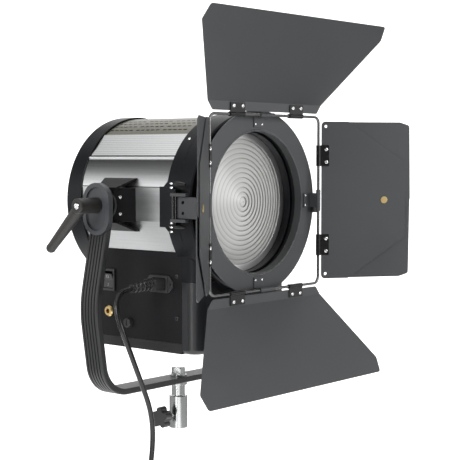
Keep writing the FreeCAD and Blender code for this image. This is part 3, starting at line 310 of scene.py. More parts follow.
def sweep_grid():
    """Paper sweep: flat floor, then a quarter circle, then a wall, carried straight across."""
    across = np.linspace(-4.5, 4.5, 2)
    bend = np.linspace(0, math.pi / 2, 24)
    y = np.concatenate([[-5.0], 2.6 + 1.2 * np.sin(bend), [3.8]])
    z = np.concatenate([[FLOOR_Z], FLOOR_Z + 1.2 * (1 - np.cos(bend)), [FLOOR_Z + 5.0]])
    turn = math.radians(VIEW_TURN)
    x, y = across[:, None] * np.ones(len(y)), np.ones((2, 1)) * y
    z = np.ones((2, 1)) * z
    return np.stack([x * math.cos(turn) - y * math.sin(turn), x * math.sin(turn) + y * math.cos(turn), z], axis=-1)


paper = bpy.data.materials.new("paper_sweep")
paper.use_nodes = True
paper_tree = paper.node_tree
paper_shader = paper_tree.nodes["Principled BSDF"]
paper_fibre = node(paper_tree, "ShaderNodeTexNoise", Scale=3.0, Detail=3.0)
paper_place = node(paper_tree, "ShaderNodeTexCoord").outputs["Object"]
paper_across = node(paper_tree, "ShaderNodeVectorMath", {0: paper_place}, operation="DOT_PRODUCT")
paper_across.inputs[1].default_value = (math.cos(math.radians(VIEW_TURN)), math.sin(math.radians(VIEW_TURN)), 0)
paper_side = node(paper_tree, "ShaderNodeMath", {0: paper_across.outputs["Value"]}, operation="ABSOLUTE")
# Painted light: the paper glows with its own tone and is painted darker past 1.15 m from its middle, a painted
# fall-off of light towards its sides.
paper_painted_falloff = node(paper_tree, "ShaderNodeMapRange", {"Value": paper_side.outputs[0]}, From_Min=1.15, From_Max=1.5,
                    To_Min=1.0, To_Max=0.22)
paper_tone = node(paper_tree, "ShaderNodeMapRange", {"Value": paper_fibre.outputs["Fac"]}, To_Min=0.88, To_Max=0.9)
paper_level = node(paper_tree, "ShaderNodeMath", {0: paper_tone.outputs[0], 1: paper_painted_falloff.outputs[0]},
                   operation="MULTIPLY")
paper_tree.links.new(paper_level.outputs[0], paper_shader.inputs["Base Color"])
paper_tree.links.new(paper_level.outputs[0], paper_shader.inputs["Emission Color"])
paper_shader.inputs["Emission Strength"].default_value = 0.85
paper_shader.inputs["Roughness"].default_value = 0.9
sweep = add_piece("paper_sweep", sweep_grid(), None, paper)

# The studio's walls are bright low down, dim at eye height, bright again under the ceiling, and
# dark round the camera.


def tone_ramp(tree, factor, steps):
    """A colour ramp read at a factor, with these (place, colour) steps in rising order."""
    made = node(tree, "ShaderNodeValToRGB", {"Fac": factor})
    for place, colour in steps[1:-1]:
        made.color_ramp.elements.new(place)
    for stop, (place, colour) in zip(made.color_ramp.elements, steps):
        stop.position = place
        stop.color = (*colour, 1)
    return made


def greys(*steps):
    """The same steps with each level as a neutral colour."""
    return [(place, (level, level, level)) for place, level in steps]


world = bpy.data.worlds.new("studio")
bpy.context.scene.world = world
world.use_nodes = True
room = world.node_tree
room_place = node(room, "ShaderNodeTexCoord").outputs["Generated"]
room_way = node(room, "ShaderNodeSeparateXYZ", {"Vector": room_place})
room_light = tone_ramp(room, room_way.outputs["Z"], greys(
    (0.0, 1.5), (0.20, 2.3), (0.32, 1.0), (0.46, 0.16), (0.65, 0.04), (0.74, 2.2), (1.0, 0.9)))
room_towards = node(room, "ShaderNodeVectorMath", {0: room_place}, operation="DOT_PRODUCT")
room_towards.inputs[1].default_value = (-0.74, -0.67, 0)
room_dark = node(room, "ShaderNodeMapRange", {"Value": room_towards.outputs["Value"]}, From_Min=0.30, From_Max=0.75,
                 To_Min=1.0, To_Max=0.15)
room_level = node(room, "ShaderNodeVectorMath", {0: room_light.outputs["Color"], 1: room_dark.outputs[0]},
                  operation="MULTIPLY")
room.links.new(room_level.outputs[0], room.nodes["Background"].inputs["Color"])
room.nodes["Background"].inputs["Strength"].default_value = 0.8


def soft_lamp(name, at, towards, size, tall, power):
    """A soft lamp this wide and this tall at a place, turned towards a point."""
    data = bpy.data.lights.new(name, "AREA")
    data.shape = "RECTANGLE"
    data.size = size
    data.size_y = tall
    data.energy = power
    lamp = bpy.data.objects.new(name, data)
    lamp.location = at
    direction = np.array(towards) - np.array(at)
    flat = math.hypot(direction[0], direction[1])
    lamp.rotation_euler = (math.atan2(flat, -direction[2]), 0, math.atan2(direction[1], direction[0]) - math.pi / 2)
    bpy.context.collection.objects.link(lamp)


soft_lamp("high_left", (-2.4, -0.5, 1.7), (0, 0, 0.3), 1.2, 1.2, 52)
soft_lamp("front_right", (0.6, -2.6, 1.0), (0, 0, 0.3), 1.5, 1.5, 38)
soft_lamp("overhead_back", (2.4, 0.2, 1.8), (0, 0, 0.3), 1.4, 1.4, 20)
soft_lamp("strip_left", (-2.6, -0.55, 0.35), (0, 0, 0.3), 0.3, 1.6, 9)

# ---- Black coated housings ----------------------------------------------------------------------
# Front ring, front cap, rear cap and the electronics base are cast or folded aluminium, powder
# coated in black with a fine sand texture that wears through to grey on its edges.
black_coat = coated("black_coat", (0.0035, 0.004, 0.005), (0.006, 0.0065, 0.008), (0.04, 0.04, 0.042), pebble=1400,
                    height=0.00005, roughness=0.34, change=0.10, specular=0.16)


def coat_nodes(material, *names):
    """Gives the CAD nodes this finish in all their slots."""
    for name in names:
        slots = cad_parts[name].material_slots
        for slot in slots:
            slot.material = material


coat_nodes(black_coat, "front_ring", "front_cap", "rear_cap", "lens_holder", "clamp_brackets")
base_gloss = coated("base_gloss", (0.004, 0.0045, 0.0055), (0.007, 0.0075, 0.009), (0.05, 0.05, 0.052), pebble=1400,
                    height=0.00003, roughness=0.26, change=0.10, specular=0.55)
coat_nodes(base_gloss, "base_front")
plate_coat = coated("plate_coat", (0.0045, 0.0045, 0.0052), (0.0075, 0.0075, 0.0085), (0.04, 0.04, 0.04),
                    pebble=1100, height=0.00008, roughness=0.40, change=0.1, specular=0.15)
coat_nodes(plate_coat, "side_plates", "control_panel")
tray_coat = coated("tray_coat", (0.014, 0.014, 0.015), (0.02, 0.02, 0.021), (0.08, 0.08, 0.08), pebble=1100,
                   height=0.00006, roughness=0.36, change=0.1, specular=0.25)
coat_nodes(tray_coat, "base_tray")

# ---- Aluminium body -----------------------------------------------------------------------------
# Extruded panels along the lamp. The side panels are brushed along their length and clear
# anodised; the curved top panel is olive grey.


def make_brushing():
    """Short fine scratches along the lamp: a fine noise stretched eight times along Y for the
    speckle, a longer and weaker one for the streaks, over eased edges."""
    group, given, out = effect_group("brushing", [
        ("Light", "NodeSocketColor", (0.6, 0.6, 0.6, 1)), ("Dark", "NodeSocketColor", (0.4, 0.4, 0.4, 1)),
        ("Roughness", "NodeSocketFloat", 0.3), ("Depth", "NodeSocketFloat", 0.00002)],
        [("Colour", "NodeSocketColor"), ("Roughness", "NodeSocketFloat"), ("Normal", "NodeSocketVector")])
    place = node(group, "ShaderNodeTexCoord").outputs["Object"]
    fine_place = node(group, "ShaderNodeMapping", {"Vector": place}, Scale=(1, 0.45, 1))
    streak_place = node(group, "ShaderNodeMapping", {"Vector": place}, Scale=(1, 0.012, 1))
    fine = node(group, "ShaderNodeTexNoise", {"Vector": fine_place.outputs[0]}, Scale=2400.0, Detail=1.0)
    streak = node(group, "ShaderNodeTexNoise", {"Vector": streak_place.outputs[0]}, Scale=700.0, Detail=2.0)
    both = node(group, "ShaderNodeMath", {0: streak.outputs["Fac"], 2: fine.outputs["Fac"]},
                operation="MULTIPLY_ADD")
    both.inputs[1].default_value = 0.5
    spread = node(group, "ShaderNodeMapRange", {"Value": both.outputs[0]}, From_Min=0.45, From_Max=1.05)
    tone = node(group, "ShaderNodeMix", {6: given.outputs["Dark"], 7: given.outputs["Light"], 0: spread.outputs[0]},
                data_type="RGBA")
    rough = node(group, "ShaderNodeMath", {0: spread.outputs[0], 2: given.outputs["Roughness"]},
                 operation="MULTIPLY_ADD")
    rough.inputs[1].default_value = 0.08
    eased = node(group, "ShaderNodeBevel", samples=4, Radius=0.0006)
    bump = node(group, "ShaderNodeBump", {"Height": both.outputs[0], "Normal": eased.outputs[0],
                                          "Distance": given.outputs["Depth"]})
    for label, socket in (("Colour", tone.outputs[2]), ("Roughness", rough.outputs[0]),
                          ("Normal", bump.outputs[0])):
        group.links.new(socket, out.inputs[label])
    return group


brushing = make_brushing()


def brushed(name, light, dark, roughness, depth, metallic=1.0):
    """A metal with the shared brushing in these tones."""
    material = bpy.data.materials.new(name)
    material.use_nodes = True
    tree = material.node_tree
    shader = tree.nodes["Principled BSDF"]
    grain = tree.nodes.new("ShaderNodeGroup")
    grain.node_tree = brushing
    grain.inputs["Light"].default_value = (*light, 1)
    grain.inputs["Dark"].default_value = (*dark, 1)
    grain.inputs["Roughness"].default_value = roughness
    grain.inputs["Depth"].default_value = depth
    tree.links.new(grain.outputs["Colour"], shader.inputs["Base Color"])
    tree.links.new(grain.outputs["Roughness"], shader.inputs["Roughness"])
    tree.links.new(grain.outputs["Normal"], shader.inputs["Normal"])
    shader.inputs["Metallic"].default_value = metallic
    return material


side_aluminium = brushed("side_aluminium", (0.60, 0.61, 0.61), (0.46, 0.465, 0.47), 0.34, 0.000004)
coat_nodes(side_aluminium, "lower_side_panels")

# The upper panels carry painted light and shade by height: painted shade that deepens towards their
# round bead, and a painted highlight along the bead, with narrow darker bands beside it. The flat strip above the
# bead has fine lines drawn along it.
upper_aluminium = brushed("upper_aluminium", (0.62, 0.63, 0.63), (0.47, 0.475, 0.48), 0.27, 0.000004)
upper_tree = upper_aluminium.node_tree
upper_place = node(upper_tree, "ShaderNodeSeparateXYZ",
                   {"Vector": node(upper_tree, "ShaderNodeTexCoord").outputs["Object"]})
upper_height = node(upper_tree, "ShaderNodeMapRange", {"Value": upper_place.outputs["Z"]}, From_Min=0.3552,
                    From_Max=0.3938, To_Max=0.8)
upper_height.clamp = False
upper_painted_light_ramp = tone_ramp(upper_tree, upper_height.outputs[0], greys(
    (0.0, 1.25), (0.30, 1.05), (0.55, 0.62), (0.735, 0.30), (0.742, 0.16), (0.752, 1.6), (0.835, 1.6),
    (0.845, 0.14), (0.862, 0.14), (0.875, 1.12)))
upper_wave = node(upper_tree, "ShaderNodeMath", {0: upper_place.outputs["Z"]}, operation="PINGPONG")
upper_wave.inputs[1].default_value = 0.0013
upper_line = node(upper_tree, "ShaderNodeMapRange", {"Value": upper_wave.outputs[0]}, From_Max=0.0004, To_Min=0.62)
upper_strip = node(upper_tree, "ShaderNodeMath", {0: upper_height.outputs[0]}, operation="LESS_THAN")
upper_strip.inputs[1].default_value = 0.88
upper_lines = node(upper_tree, "ShaderNodeMath", {0: upper_line.outputs[0], 1: upper_strip.outputs[0]},
                   operation="MAXIMUM")
upper_level = node(upper_tree, "ShaderNodeVectorMath", {0: upper_painted_light_ramp.outputs["Color"], 1: upper_lines.outputs[0]},
                   operation="MULTIPLY")
upper_tone = node(upper_tree, "ShaderNodeVectorMath",
                  {0: upper_tree.nodes["Group"].outputs["Colour"], 1: upper_level.outputs[0]}, operation="MULTIPLY")
upper_tree.links.new(upper_tone.outputs[0], upper_tree.nodes["Principled BSDF"].inputs["Base Color"])
coat_nodes(upper_aluminium, "upper_side_panels")
olive_top = brushed("olive_top", (0.20, 0.195, 0.165), (0.15, 0.145, 0.12), 0.36, 0.000005, metallic=0.85)
coat_nodes(olive_top, "top_panel")
bracket_coat = coated("bracket_coat", (0.004, 0.004, 0.0045), (0.007, 0.007, 0.008), (0.03, 0.03, 0.03),
                      roughness=0.30, specular=0.2)
coat_nodes(bracket_coat, "pivot_brackets")

# ---- Lens ---------------------------------------------------------------------------------------
# Pressed borosilicate glass with stepped rings, clear with a faint grey cast, held by a bright ring.
LENS_AXIS_Z = 0.333
RING_PITCH = 0.087 / 13
lens_glass = bpy.data.materials.new("lens_glass")
lens_glass.use_nodes = True
glass_tree = lens_glass.node_tree
glass_shader = glass_tree.nodes["Principled BSDF"]
glass_place = node(glass_tree, "ShaderNodeTexCoord").outputs["Object"]
glass_ripple = node(glass_tree, "ShaderNodeTexNoise", {"Vector": glass_place}, Scale=60.0, Detail=2.0)
glass_bump = node(glass_tree, "ShaderNodeBump", {"Height": glass_ripple.outputs["Fac"]}, Distance=0.0002)
glass_film = node(glass_tree, "ShaderNodeMapRange", {"Value": glass_ripple.outputs["Fac"]}, To_Min=0.26,
                  To_Max=0.38)
glass_tree.links.new(glass_bump.outputs[0], glass_shader.inputs["Normal"])
glass_tree.links.new(glass_film.outputs[0], glass_shader.inputs["Roughness"])
# Painted light and shade of the rings: by its distance from the lens axis, each ring is painted dark at its step,
# lighter just past it, and a little dimmer towards the next step.
glass_parts = node(glass_tree, "ShaderNodeSeparateXYZ", {"Vector": glass_place})
glass_up = node(glass_tree, "ShaderNodeMath", {0: glass_parts.outputs["Z"]}, operation="SUBTRACT")
glass_up.inputs[1].default_value = LENS_AXIS_Z
glass_flat = node(glass_tree, "ShaderNodeCombineXYZ",
                  {"X": glass_parts.outputs["X"], "Y": glass_up.outputs[0]})
glass_radius = node(glass_tree, "ShaderNodeVectorMath", {0: glass_flat.outputs[0]}, operation="LENGTH")
glass_step = node(glass_tree, "ShaderNodeMath", {0: glass_radius.outputs["Value"]}, operation="DIVIDE")
glass_step.inputs[1].default_value = RING_PITCH
glass_saw = node(glass_tree, "ShaderNodeMath", {0: glass_step.outputs[0]}, operation="FRACT")
glass_painted_step_shade = tone_ramp(glass_tree, glass_saw.outputs[0], [
    (0.0, (0.24, 0.24, 0.24 * 0.985)), (0.28, (0.66, 0.66, 0.66 * 0.985)), (0.95, (0.54, 0.54, 0.52))])
glass_tree.links.new(glass_painted_step_shade.outputs["Color"], glass_shader.inputs["Base Color"])
glass_shader.inputs["Transmission Weight"].default_value = 0.22
glass_shader.inputs["IOR"].default_value = 1.47
glass_shader.inputs["Coat Weight"].default_value = 0.06
coat_nodes(lens_glass, "fresnel_lens")
spun_aluminium = brushed("spun_aluminium", (0.72, 0.72, 0.72), (0.55, 0.55, 0.55), 0.28, 0.00001)
coat_nodes(spun_aluminium, "lens_retainer", "heat_sink", "led_module", "carriage")

# The reflector is a spun cup round the LED: bright inside, and it travels with the light engine.
CUP_BACK_Y, CUP_FRONT_Y, CUP_IN, CUP_OUT = -0.0668, -0.0845, 0.022, 0.054


def cup_grid():
    """A cup turned about the lens axis: radius grows as the square root of the depth, out along
    the inside and back along the outside, 0.8 mm apart."""
    t = np.linspace(0, 1, 24)
    radius = CUP_IN + (CUP_OUT - CUP_IN) * np.sqrt(t)
    y = CUP_BACK_Y + (CUP_FRONT_Y - CUP_BACK_Y) * t
    profile = np.concatenate([np.stack([radius, y], 1), np.stack([radius + 0.0008, y + 0.0002], 1)[::-1]])
    turn = np.linspace(0, 2 * math.pi, 72, endpoint=False)
    x = profile[:, 0][:, None] * np.cos(turn)
    z = LENS_AXIS_Z + profile[:, 0][:, None] * np.sin(turn)
    return np.stack([x, np.repeat(profile[:, 1][:, None], len(turn), 1), z], axis=-1)


reflector = add_piece("reflector_cup", cup_grid(), "light_engine", spun_aluminium, wrap_u=True, wrap_v=True)

# ---- Barn door ----------------------------------------------------------------------------------
# Ring plate, leaves and flaps are 1.2 mm steel sheet in charcoal powder coat; the frame is bent
# from 4 mm bright plated rod, and its welded tabs curl round it.
door_coat = coated("door_coat", (0.024, 0.0255, 0.0275), (0.031, 0.0325, 0.035), (0.12, 0.12, 0.12), pebble=1300,
                   height=0.00004, roughness=0.40, change=0.1, specular=0.5)
coat_nodes(door_coat, "top_leaf", "bottom_leaf", "left_leaf", "right_leaf", "left_upper_flap",
           "left_lower_flap", "right_upper_flap", "right_lower_flap")
# The ring plate's edge tone is far paler than its coat: a painted highlight along its edges and inner lip.
ring_plate_painted_highlight = coated("ring_plate_painted_highlight", (0.021, 0.0225, 0.0245), (0.027, 0.0285, 0.031), (0.42, 0.43, 0.44), pebble=1300,
                   height=0.00004, roughness=0.40, change=0.1, specular=0.5)
coat_nodes(ring_plate_painted_highlight, "ring_plate")
bright_steel = coated("bright_steel", (0.50, 0.51, 0.51), (0.60, 0.61, 0.61), (0.7, 0.7, 0.71), pebble=700,
                      height=0.000012, roughness=0.12, change=0.10, metallic=1.0)
coat_nodes(bright_steel, "guide_rods", "tilt_bolts", "lock_screw", "cap_nut_and_washer", "stand_socket")

# The wire is satin plated; the tabs in the same set are coated like the ring plate. They lie
# within 15.3 mm of the frame's upright and level centre lines.
wire_finish = coated("wire_finish", (0.11, 0.11, 0.112), (0.16, 0.16, 0.163), (0.34, 0.34, 0.345), pebble=700,
                     height=0.00001, roughness=0.22, change=0.1, metallic=1.0)
wire_tree = wire_finish.node_tree
wire_shader, wire_skin = wire_tree.nodes["Principled BSDF"], wire_tree.nodes["Group"]
wire_place = node(wire_tree, "ShaderNodeVectorMath", {0: node(wire_tree, "ShaderNodeTexCoord").outputs["Object"]},
                  operation="SUBTRACT")
wire_place.inputs[1].default_value = (0, 0, LENS_AXIS_Z)
wire_away = node(wire_tree, "ShaderNodeVectorMath", {0: wire_place.outputs[0]}, operation="ABSOLUTE")
wire_parts = node(wire_tree, "ShaderNodeSeparateXYZ", {"Vector": wire_away.outputs[0]})
wire_least = node(wire_tree, "ShaderNodeMath", {0: wire_parts.outputs["X"], 1: wire_parts.outputs["Z"]},
                  operation="MINIMUM")
is_wire = node(wire_tree, "ShaderNodeMath", {0: wire_least.outputs[0]}, operation="GREATER_THAN")
is_wire.inputs[1].default_value = 0.0153
tab_tone = node(wire_tree, "ShaderNodeMix", {0: is_wire.outputs[0], 7: wire_skin.outputs["Colour"]},
                data_type="RGBA")
tab_tone.inputs[6].default_value = (0.030, 0.0315, 0.034, 1)
tab_rough = node(wire_tree, "ShaderNodeMath", {0: is_wire.outputs[0]}, operation="MULTIPLY_ADD")
tab_rough.inputs[1].default_value = -0.22
tab_rough.inputs[2].default_value = 0.46
wire_tree.links.new(tab_tone.outputs[2], wire_shader.inputs["Base Color"])
wire_tree.links.new(tab_rough.outputs[0], wire_shader.inputs["Roughness"])
wire_tree.links.new(is_wire.outputs[0], wire_shader.inputs["Metallic"])
coat_nodes(wire_finish, "wire_frame")
clip_enamel = coated("clip_enamel", (0.004, 0.004, 0.0045), (0.007, 0.007, 0.0075), (0.03, 0.03, 0.03), pebble=500,
                     height=0.00001, roughness=0.18, change=0.1, specular=0.3)
coat_nodes(clip_enamel, "top_hinge_clips", "bottom_hinge_clips", "left_hinge_clips", "right_hinge_clips")
warm_brass = coated("warm_brass", (0.56, 0.40, 0.17), (0.66, 0.50, 0.24), (0.75, 0.6, 0.35), pebble=600,
                    height=0.00003, roughness=0.25, change=0.15, metallic=1.0)
coat_nodes(warm_brass, "left_rivet", "right_rivet", "low_voltage_jack")

# ---- Yoke ---------------------------------------------------------------------------------------
# The yoke is one ribbed aluminium extrusion, bent and coated black; dished oval covers and
# friction discs sit where it meets the head.
yoke_coat = coated("yoke_coat", (0.018, 0.0185, 0.019), (0.024, 0.0245, 0.025), (0.05, 0.05, 0.05), pebble=1200,
                   height=0.00003, roughness=0.34, change=0.12, specular=0.35)
yoke_tree = yoke_coat.node_tree
yoke_skin, yoke_shader = yoke_tree.nodes["Group"], yoke_tree.nodes["Principled BSDF"]
# Painted shade: on the yoke's outer faces, within 13.5 mm of its middle, the grooves between the ribs are painted
# near black and made rougher.
yoke_place = node(yoke_tree, "ShaderNodeTexCoord").outputs["Object"]
yoke_parts = node(yoke_tree, "ShaderNodeSeparateXYZ", {"Vector": yoke_place})
yoke_flat = node(yoke_tree, "ShaderNodeVectorMath", {0: yoke_place}, operation="SUBTRACT")
yoke_flat.inputs[1].default_value = (0, 0, 0.22)
yoke_out = node(yoke_tree, "ShaderNodeVectorMath", {0: yoke_flat.outputs[0],
                1: node(yoke_tree, "ShaderNodeNewGeometry").outputs["True Normal"]}, operation="DOT_PRODUCT")
yoke_outer = node(yoke_tree, "ShaderNodeMath", {0: yoke_out.outputs["Value"]}, operation="GREATER_THAN")
yoke_outer.inputs[1].default_value = 0.0
yoke_wave = node(yoke_tree, "ShaderNodeMath", {0: yoke_parts.outputs["Y"]}, operation="PINGPONG")
yoke_wave.inputs[1].default_value = 0.00275
yoke_groove_shade = node(yoke_tree, "ShaderNodeMapRange", {"Value": yoke_wave.outputs[0]}, From_Min=0.0013,
                   From_Max=0.0006)
yoke_span = node(yoke_tree, "ShaderNodeMath", {0: yoke_parts.outputs["Y"]}, operation="ABSOLUTE")
yoke_within = node(yoke_tree, "ShaderNodeMath", {0: yoke_span.outputs[0]}, operation="LESS_THAN")
yoke_within.inputs[1].default_value = 0.0135
yoke_shade_in_span = node(yoke_tree, "ShaderNodeMath", {0: yoke_groove_shade.outputs[0], 1: yoke_within.outputs[0]},
                 operation="MULTIPLY")
yoke_painted_shade_mask = node(yoke_tree, "ShaderNodeMath", {0: yoke_shade_in_span.outputs[0], 1: yoke_outer.outputs[0]},
                 operation="MULTIPLY")
yoke_tone = node(yoke_tree, "ShaderNodeMix", {0: yoke_painted_shade_mask.outputs[0], 6: yoke_skin.outputs["Colour"]},
                 data_type="RGBA")
yoke_tone.inputs[7].default_value = (0.0025, 0.0025, 0.003, 1)
yoke_rough = node(yoke_tree, "ShaderNodeMath", {0: yoke_painted_shade_mask.outputs[0], 2: yoke_skin.outputs["Roughness"]},
                  operation="MULTIPLY_ADD")
yoke_rough.inputs[1].default_value = 0.5
yoke_tree.links.new(yoke_tone.outputs[2], yoke_shader.inputs["Base Color"])
yoke_tree.links.new(yoke_rough.outputs[0], yoke_shader.inputs["Roughness"])
coat_nodes(yoke_coat, "yoke_bar")
grey_cast = coated("grey_cast", (0.036, 0.038, 0.042), (0.046, 0.048, 0.053), (0.16, 0.16, 0.17), pebble=1000,
                   height=0.00004, roughness=0.34, change=0.12, specular=0.4)
coat_nodes(grey_cast, "pivot_covers")
clamp_coat = coated("clamp_coat", (0.024, 0.025, 0.027), (0.034, 0.035, 0.037), (0.12, 0.12, 0.12), roughness=0.35)
coat_nodes(clamp_coat, "left_clamp_arm", "right_clamp_arm")

# ---- Moulded parts ------------------------------------------------------------------------------
# Lever, knobs, inlet, switch, fuse cap and fan are glass-filled nylon with a matt spark texture.
nylon = coated("black_nylon", (0.013, 0.013, 0.014), (0.02, 0.02, 0.021), (0.035, 0.035, 0.036), pebble=1800,
               height=0.00006, roughness=0.42, change=0.1)
coat_nodes(nylon, "power_inlet", "switch_bezel", "fuse_cap", "fan_frame", "fan_rotor", "lock_knob",
           "focus_knob_and_screw", "dimmer_knob", "friction_discs", "cord_connector", "cord_plug")
lever_nylon = coated("lever_nylon", (0.010, 0.0088, 0.008), (0.015, 0.0135, 0.0125), (0.035, 0.03, 0.028),
                     pebble=1500, height=0.00008, roughness=0.45, change=0.1)
coat_nodes(lever_nylon, "tilt_lever")
rocker_gloss = coated("rocker_gloss", (0.01, 0.01, 0.011), (0.014, 0.014, 0.015), pebble=300, height=0.00001,
                      roughness=0.18, change=0.08)
coat_nodes(rocker_gloss, "power_rocker")
circuit_board = coated("circuit_board", (0.02, 0.09, 0.04), (0.03, 0.12, 0.055), (0.1, 0.2, 0.1), roughness=0.4)
coat_nodes(circuit_board, "driver_board")

# ---- Screws and rivets --------------------------------------------------------------------------
# Bright zinc pan-head screws hold the hinge clips to the leaves, and the pivot brackets to the
# head; small black ones hold the base's side plates and the inlet. All have a hexagon socket.
zinc = coated("bright_zinc", (0.74, 0.74, 0.75), (0.85, 0.85, 0.86), (0.9, 0.9, 0.9), pebble=900, height=0.000008,
              roughness=0.16, change=0.1, metallic=1.0)
black_screw = coated("black_screw", (0.02, 0.02, 0.021), (0.035, 0.035, 0.036), (0.12, 0.12, 0.12), pebble=900,
                     height=0.00001, roughness=0.25, change=0.1, metallic=0.6)


def screw_heads(places, way, radius, height):
    """Pan heads in millimetres at these places: a profile turned about the direction 'way', with
    a rounded rim and a six-sided socket sunk into the middle."""
    way = np.array(way, float) / np.linalg.norm(way)
    side = np.cross(way, (0.31, 0.53, 0.79))
    side /= np.linalg.norm(side)
    up = np.cross(way, side)
    rise = np.array([-0.3, 0.55, 0.9, 1.0, 1.0, 0.35, 0.35]) * height
    width = np.array([1.0, 1.0, 0.86, 0.62, 0.5, 0.45, 0.0]) * radius
    turn = np.linspace(0, 2 * math.pi, 18, endpoint=False)
    six = np.where(np.arange(7)[:, None] >= 4, 1 / np.cos((turn % (math.pi / 3)) - math.pi / 6), 1.0)
    ring = np.cos(turn)[:, None] * side + np.sin(turn)[:, None] * up
    head = rise[:, None, None] * way + (width[:, None] * six)[..., None] * ring
    return (np.array(places, float)[:, None, None] + head) / 1000


def add_screws(name, places, way, radius, height, body, material=zinc):
    """A set of screw heads that ride on one body."""
    heads = add_piece(name, screw_heads(places, way, radius, height), body, material, wrap_v=True)


WIRE_Y, HINGE_RISE = -164.5, 119.0


def on_leaf(points, lean, quarter):
    """Takes points drawn on an upright leaf over its hinge to the leaf's place: leaned forward
    about the wire, then turned by quarters about the lens axis."""
    a, q = math.radians(lean), math.radians(90 * quarter)
    x, y, z = np.array(points, float).T
    y, z = y * math.cos(a) - z * math.sin(a) + WIRE_Y, y * math.sin(a) + z * math.cos(a) + HINGE_RISE
    across, rise = x * math.cos(q) + z * math.sin(q), z * math.cos(q) - x * math.sin(q)
    return np.stack([across, y, rise + 333.0], axis=1)


for leaf, lean, quarter in (("top", 2, 0), ("bottom", 0, 2), ("left", 36, 3), ("right", 36, 1)):
    front = on_leaf([(x + dx, -1.95, 11.0) for x in (-64, 64) for dx in (-9, 9)], lean, quarter)
    facing = on_leaf([(0, -1, 0), (0, 0, 0)], lean, quarter)
    add_screws(leaf + "_clip_screws", front, facing[0] - facing[1], 2.6, 1.5, leaf + "_door")
    back = on_leaf([(x + dx, 0.6, 11.0) for x in (-64, 64) for dx in (-9, 9)], lean, quarter)
    add_screws(leaf + "_clip_nuts", back, facing[1] - facing[0], 2.9, 2.2, leaf + "_door")
for side, sign in (("left", -1), ("right", 1)):
    add_screws(side + "_bracket_screws", [(sign * 136.5, -18.9, z) for z in (341, 318)], (sign * 0.49, -0.87, 0),
               2.1, 1.0, "head")
    add_screws(side + "_plate_screws", [(sign * 99.0, y, z) for y in (-88.5, 67) for z in (234.3, 177)],
               (sign, 0, 0), 2.9, 1.0, "head", black_screw)
    add_screws(side + "_cap_screw", [(sign * 86.5, -100.5, 419.6)], (sign * 0.70, 0, 0.71), 2.2, 0.8, "head")
add_screws("inlet_screws", [(-101.4, y, 222.5) for y in (-79.6, -36.4)], (-1, 0, 0), 2.5, 0.9, "head", black_screw)
add_screws("lever_screw_head", [(-199.4, 0, 330)], (-1, 0, 0), 4.3, 1.3, "tilt_lever_body")
WELD_OFF, WELD_RISE, WELD_Y = 7, 107, -150.8
for k in range(4):
    c, s = math.cos(math.radians(90 * k)), math.sin(math.radians(90 * k))
    turned = [(x * c + WELD_RISE * s, WELD_Y, WELD_RISE * c - x * s + 333) for x in (-WELD_OFF, WELD_OFF)]
    add_screws("tab_weld_%d" % (k + 1), turned, (0, -1, 0), 1.5, 0.5, "barn_ring", zinc)

# ---- Clamp fittings -----------------------------------------------------------------------------
# Each side clamp turns beside two dark plated rods, is drawn tight by two black wing levers, and
# has small ball-ended set screws above and below.


def bar_grid(start, end, radii, sides=16):
    """A turned bar from start to end in millimetres, with this radius at each of its stations."""
    t = np.linspace(0, 1, len(radii))[:, None]
    line = (np.array(start) + (np.array(end) - np.array(start)) * t) / 1000
    return tube_grid(line, np.array(radii) / 1000, sides)


def wing_grid(x, y, z):
    """A wing lever: an oval bar that tapers and drops towards its rounded end."""
    t = np.linspace(0, 1, 14)[:, None]
    line = (np.array((x, y, z)) + np.array((0, -21.0, 0)) * t + np.array((-1.5, 0, -1.0)) * t ** 2) / 1000
    radii = 0.0026 + 0.0008 * np.sin(math.pi * t[:, 0]) - 0.0008 * t[:, 0]
    return tube_grid(line, radii, 16)


rod_steel = coated("rod_steel", (0.06, 0.06, 0.062), (0.10, 0.10, 0.102), (0.3, 0.3, 0.3), pebble=700,
                   height=0.00001, roughness=0.18, change=0.1, metallic=1.0)
for side, sign in (("left", -1), ("right", 1)):
    rods = np.stack([bar_grid((sign * 133.9, y, 309), (sign * 133.9, y, 349), [1.5] * 6) for y in (-119.0, -114.5)])
    clamp_rods = add_piece(side + "_clamp_rods", rods, "head", rod_steel, wrap_v=True)
    wings = np.stack([wing_grid(sign * 131.5, -114, z) for z in (360.5, 304.0)])
    clamp_wings = add_piece(side + "_clamp_wings", wings, "head", clip_enamel, wrap_v=True)
    balls = [bar_grid((sign * 132.6, -107.5, z), (sign * 132.6, -112.5, z), [0.9, 1.4, 1.6, 1.6, 1.3, 0.7], 12)
             for z in (360.5, 355.0, 308.5, 303.0, 297.0)]
    set_screws = add_piece(side + "_set_screws", np.stack(balls), "head", zinc, wrap_v=True)

# ---- Marks on the switch ------------------------------------------------------------------------
# The rocker carries the usual on and off marks, printed in grey and slightly raised.
mark_grey = coated("mark_grey", (0.35, 0.35, 0.35), (0.42, 0.42, 0.42), pebble=900, height=0.00001, roughness=0.5)


def on_rocker(points):
    """Takes points drawn beside the upright rocker to the tilted rocker, turned 8 degrees."""
    a = math.radians(-8)
    x, y, z = (np.array(points) - (-93.0, 42.0, 222.0)).T
    turned = np.stack([x * math.cos(a) + z * math.sin(a), y, z * math.cos(a) - x * math.sin(a)], axis=1)
    return (turned + (-93.0, 42.0, 222.0)) / 1000


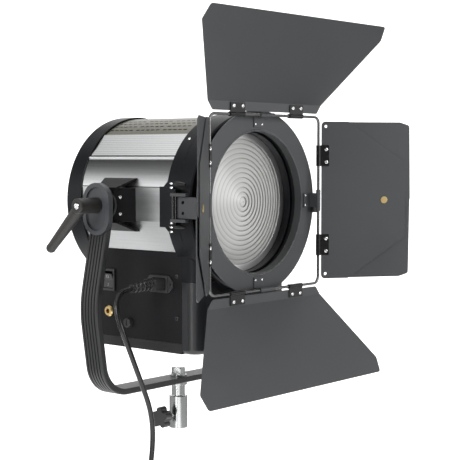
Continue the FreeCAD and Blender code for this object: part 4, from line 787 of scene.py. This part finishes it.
mark_turn = np.linspace(0, 2 * math.pi, 25)[:-1]
off_z = 222 + 5.8 + 2.1 * np.sin(mark_turn)
off_line = np.stack([-100.0 - 0.235 * (off_z - 222), 42 + 2.1 * np.cos(mark_turn), off_z], axis=1)
off_line = on_rocker(np.vstack([off_line, off_line[:1]]))
off_mark = add_piece("off_mark", tube_grid(off_line, 0.0003, 8), "rocker", mark_grey, wrap_v=True)
on_line = on_rocker([(-100.0 - 0.235 * t, 42, 222 - t) for t in np.linspace(3.8, 7.8, 6)])
on_mark = add_piece("on_mark", tube_grid(on_line, 0.0003, 8), "rocker", mark_grey, wrap_v=True)

# ---- Control panel's display --------------------------------------------------------------------
# A smoked acrylic window in a thin moulded rim covers the level display; raised pips ring the knobs.


def pad_grid(x, z, half_x, half_z, y0, y1, corner):
    """A low pad with rounded corners, turned towards +Y: a superellipse outline drawn at the
    foot, the rim and just inside the rim, closed by a centre point."""
    turn = np.linspace(0, 2 * math.pi, 64, endpoint=False)
    round_x = np.sign(np.cos(turn)) * np.abs(np.cos(turn)) ** corner
    round_z = np.sign(np.sin(turn)) * np.abs(np.sin(turn)) ** corner
    levels = [(0, y0), (1, y0), (1, y1 - 0.3), (1 - 0.4 / half_z, y1), (0, y1)]
    rows = [np.stack([x + half_x * k * round_x, np.full(64, y), z + half_z * k * round_z], axis=1)
            for k, y in levels]
    return np.array(rows) / 1000


smoked = coated("smoked_acrylic", (0.004, 0.004, 0.005), (0.006, 0.006, 0.007), pebble=200, height=0.000003,
                roughness=0.06, change=0.05)
window_rim = add_piece("display_rim", pad_grid(28, 345, 26, 14, 102.4, 103.6, 0.3), "head", nylon, wrap_v=True)
window = add_piece("display_window", pad_grid(28, 345, 23.5, 11.5, 103.2, 104.0, 0.25), "head", smoked, wrap_v=True)
pips = [bar_grid(*((x + r * math.sin(a), y, z + r * math.cos(a)) for y in (102.2, 103.0)), [0.7, 0.7, 0.5], 8)
        for x, z, r in ((0, 271, 21.0), (-42, 345, 17.0)) for a in np.radians(np.arange(-135, 136, 27))]
dial_pips = add_piece("dial_pips", np.stack(pips), "head", mark_grey, wrap_v=True)
